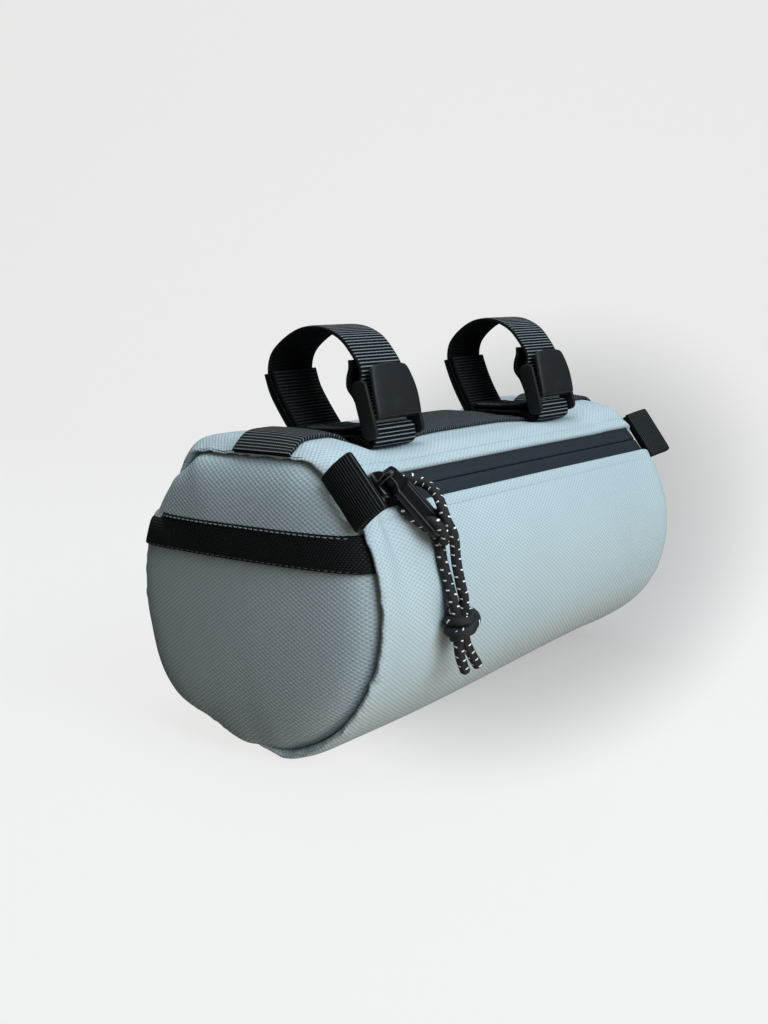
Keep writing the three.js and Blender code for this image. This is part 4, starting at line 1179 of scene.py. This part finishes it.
def make_lever(name, x):
    """A plate that narrows towards a crowned top with round corners, bowed outwards, with soft edges."""
    share = np.concatenate([[0, 0.012, 0.03], np.linspace(0.06, 1, 46)])
    narrow = np.clip((share - LEVER_NARROW) / (1 - LEVER_NARROW), 0, 1) ** LEVER_TAPER
    corner = np.clip((share - LEVER_ROUND) / (1 - LEVER_ROUND), 0, 1)
    half = (LEVER_WIDTH - (LEVER_WIDTH - LEVER_TOP_WIDTH) * narrow) / 2
    half = half - LEVER_CORNER * (1 - np.sqrt(1 - corner**2 * NEARLY_ONE))
    across = crowded(33)
    up = LEVER_BOTTOM + (LEVER_TOP - LEVER_BOTTOM) * share[:, None]
    up = up + LEVER_ARCH * share[:, None] * (1 - across[None] ** 2)
    soft = np.sqrt(1 - np.abs(across) ** LEVER_SOFT)
    ends = np.clip(np.minimum(share, 1 - share) / LEVER_END, 0, 1)
    by_end = LEVER_THIN_END + (1 - LEVER_THIN_END) * np.sqrt(1 - (1 - ends) ** 2)
    by_side = LEVER_THIN_SIDE + (1 - LEVER_THIN_SIDE) * soft
    thick = by_end[:, None] * by_side[None]
    middle = LEVER_OUT + LEVER_THICKNESS / 2 + LEVER_BOW * (1 - (2 * share[:, None] - 1) ** 2)
    middle = middle + LEVER_CROWN * (1 - across[None] ** 2)
    front, back = middle + thick * LEVER_THICKNESS / 2, middle - thick * LEVER_THICKNESS / 2
    out = np.concatenate([front, back[:, ::-1]], 1)
    spot = np.concatenate([across, across[::-1]])
    rise = np.concatenate([up, up[:, ::-1]], 1)
    sections = buckle_space(x, spot[None] * half[:, None], rise, out)
    loft(f"buckle_plate_{name}", sections, BUCKLE, (f"buckle_lever_{name}",))


def make_loops():
    """At each side a strap, the anchors of its rear end and of its buckle, and the buckle."""
    for name, side in SIDES:
        x = side * LOOP_SPACING / 2
        for label, node, line, finish in (
            ("strap_web", "strap", strap_line(STRAP_LINES[name]), STRAP_WEB),
            ("rear_leaf", "rear_anchor", rear_anchor_line(STRAP_LINES[name]), SHADED_WEB),
            ("front_wrap", "front_anchor", front_anchor_line(), STRAP_WEB),
        ):
            ribbon(
                f"{label}_{name}", in_plane(line, x), (1, 0, 0), STRAP_WIDTH, STRAP, finish,
                (f"{node}_{name}",), loop=label == "strap_web",
            )
        make_buckle(name, x)


# Zip


TAPE_SEAT, TAPE_THICKNESS = 1.9, 1.0
TAPE_END = 103.0
TAPE_UNDER = 5.0  # degrees that it goes on under the cloth
TAPE_GAP = 0.12  # from the centre line
TAPE_DROOP, DROOP_REACH = 0.35, 0.5  # how far its inner edge falls, and how near to the centre line


def make_zip():
    """Two strips of tape under the cloth's edges, meeting on the centre line."""
    x, drop = lip_stations(180, 10)
    keep = np.abs(x) <= TAPE_END
    x, drop = x[keep], drop[keep]
    gap = np.degrees(TAPE_GAP / BODY_RADIUS)
    for name, start, stop in (
        ("lower", ZIP_LOWER_EDGE - TAPE_UNDER, ZIP_MIDDLE - gap),
        ("upper", ZIP_MIDDLE + gap, ZIP_UPPER_EDGE + TAPE_UNDER),
    ):
        angle = np.linspace(start, stop, 24)
        from_middle = np.radians(angle - ZIP_MIDDLE) * BODY_RADIUS
        sink = TAPE_SEAT + TAPE_DROOP * hill(from_middle, 0, DROOP_REACH)
        radius = barrel_radius(x[:, None], angle[None], drop[:, None]) - sink[None]
        points = around_axis(x[:, None], angle[None], radius)
        tape = piece(
            f"zip_half_{name}", points, TAPE, (f"zip_tape_{name}",),
            uv=(x - x[0], from_middle),
        )
        thicken(tape, TAPE_THICKNESS)


TAB_WIDTH, TAB_LENGTH, TAB_THICKNESS, TAB_SPREAD = 22.0, 14.0, 1.5, 1.1
TAB_POINTS = 40
TABS = (  # x, angle and radius of the base, angle of the edge, lean along and out, degrees of bow
    ("left", -107.2, 41.0, 56.2, 41.0, 0.0, 1.0, 46.0),
    ("right", 106.9, 42.9, 56.3, 36.0, 0.96, 0.28, 12.0),
)


def make_tabs():
    """Folded webbing in the end seams: a bowed line with a leaf on each side and a round fold at its tip."""
    along = np.array([1.0, 0, 0])
    for name, x, angle, radius, edge, lean_x, lean_out, bow in TABS:
        turn = np.radians(edge)
        out = np.array([0, -np.cos(turn), np.sin(turn)])
        ahead = lean_x * along + lean_out * out
        beside = lean_x * out - lean_out * along
        way = np.radians(np.linspace(bow, -bow, TAB_POINTS)) / 2
        pace = (TAB_LENGTH - TAB_SPREAD - TAB_THICKNESS / 2) / (TAB_POINTS - 1)
        spine = np.cumsum(np.stack([np.cos(way), np.sin(way)], 1), 0) * pace
        normal = np.stack([-np.sin(way), np.cos(way)], 1) * TAB_SPREAD
        tip = np.degrees(way[-1])
        fold = arc(spine[-1], TAB_SPREAD, tip - 90, tip + 90, count=16)[1:-1]
        line = np.vstack([spine - normal, fold, (spine + normal)[::-1]])
        points = around_axis(x, angle, radius) + line[:, :1] * ahead + line[:, 1:] * beside
        ribbon(
            f"zip_tab_fold_{name}", points, np.cross(along, out), TAB_WIDTH, TAB_THICKNESS, TAB_WEB,
            (f"zip_tab_{name}",), TAB_RIB, TAB_RIB_HEIGHT,
        )


# Studio


SWEEP_HALF, SWEEP_FRONT, SWEEP_BEND, SWEEP_ROUND, SWEEP_TOP = 4000.0, -3000.0, 900.0, 700.0, 3600.0
LAMPS = (  # name, azimuth, elevation, distance, size, power, tint; the last shines up through the floor
    ("window", -12, 32, 1.6, 1.2, 33.5, (0.83, 0.93, 1.0)),
    ("top", 0, 85, 1.2, 0.9, 7.6, (0.84, 0.93, 1.0)),
    ("back", 165, 58, 1.1, 0.8, 3.8, (0.9, 0.96, 1.0)),
    ("fill", -85, 12, 1.2, 0.9, 1.6, (1.0, 0.88, 0.68)),
    ("bounce", 2, -46, 0.9, 0.7, 5.0, (1.0, 0.9, 0.76)),
)
LAMP_TARGET = Vector((0, 0, 0.07))
WORLD_TINT, WORLD_STRENGTH = colour(0.9, 0.93, 0.97), 0.05


def make_studio():
    """A pale sweep that curves up behind the bag, soft square lamps that face it, and a weak even light."""
    run = np.linspace(-SWEEP_HALF, SWEEP_HALF, 61)
    flat = np.linspace(SWEEP_FRONT, SWEEP_BEND, 40)
    bend = np.linspace(0, np.pi / 2, 24)[1:]
    away = np.concatenate([flat, SWEEP_BEND + SWEEP_ROUND * np.sin(bend), [SWEEP_BEND + SWEEP_ROUND]])
    rise = np.concatenate([0 * flat, SWEEP_ROUND * (1 - np.cos(bend)), [SWEEP_TOP]])
    a = np.radians(VIEW_AZIMUTH)
    right = np.array([np.cos(a), np.sin(a), 0])
    depth = np.array([-np.sin(a), np.cos(a), 0])
    points = run[:, None, None] * right + away[None, :, None] * depth + rise[None, :, None] * [0, 0, 1]
    corners, _ = grid_faces(len(run), len(away), closed=False)
    mesh = smooth_mesh("sweep", points, corners.tolist())
    mesh.materials.append(floor_finish())
    sweep = add_object("sweep", mesh)
    sweep.visible_diffuse = False
    sweep.visible_glossy = False
    sweep.visible_shadow = False
    for name, azimuth, elevation, distance, size, power, tint in LAMPS:
        back = toward(azimuth, elevation)
        data = bpy.data.lights.new(name, "AREA")
        data.size = size
        data.energy = power
        data.color = tint
        lamp = add_object(name, data)
        lamp.location = LAMP_TARGET + back * distance
        lamp.rotation_mode = "QUATERNION"
        lamp.rotation_quaternion = back.to_track_quat("Z", "Y")
    world = bpy.data.worlds.new("studio")
    world.use_nodes = True
    light = world.node_tree.nodes["Background"].inputs
    light["Color"].default_value = WORLD_TINT
    light["Strength"].default_value = WORLD_STRENGTH
    bpy.context.scene.world = world
    bpy.context.scene.view_settings.view_transform = "Standard"


make_camera()
make_cord()
make_slider()
make_puller()
make_body_cloth()
make_ends()
make_top_webbing()
make_zip()
make_tabs()
make_loops()
make_studio()
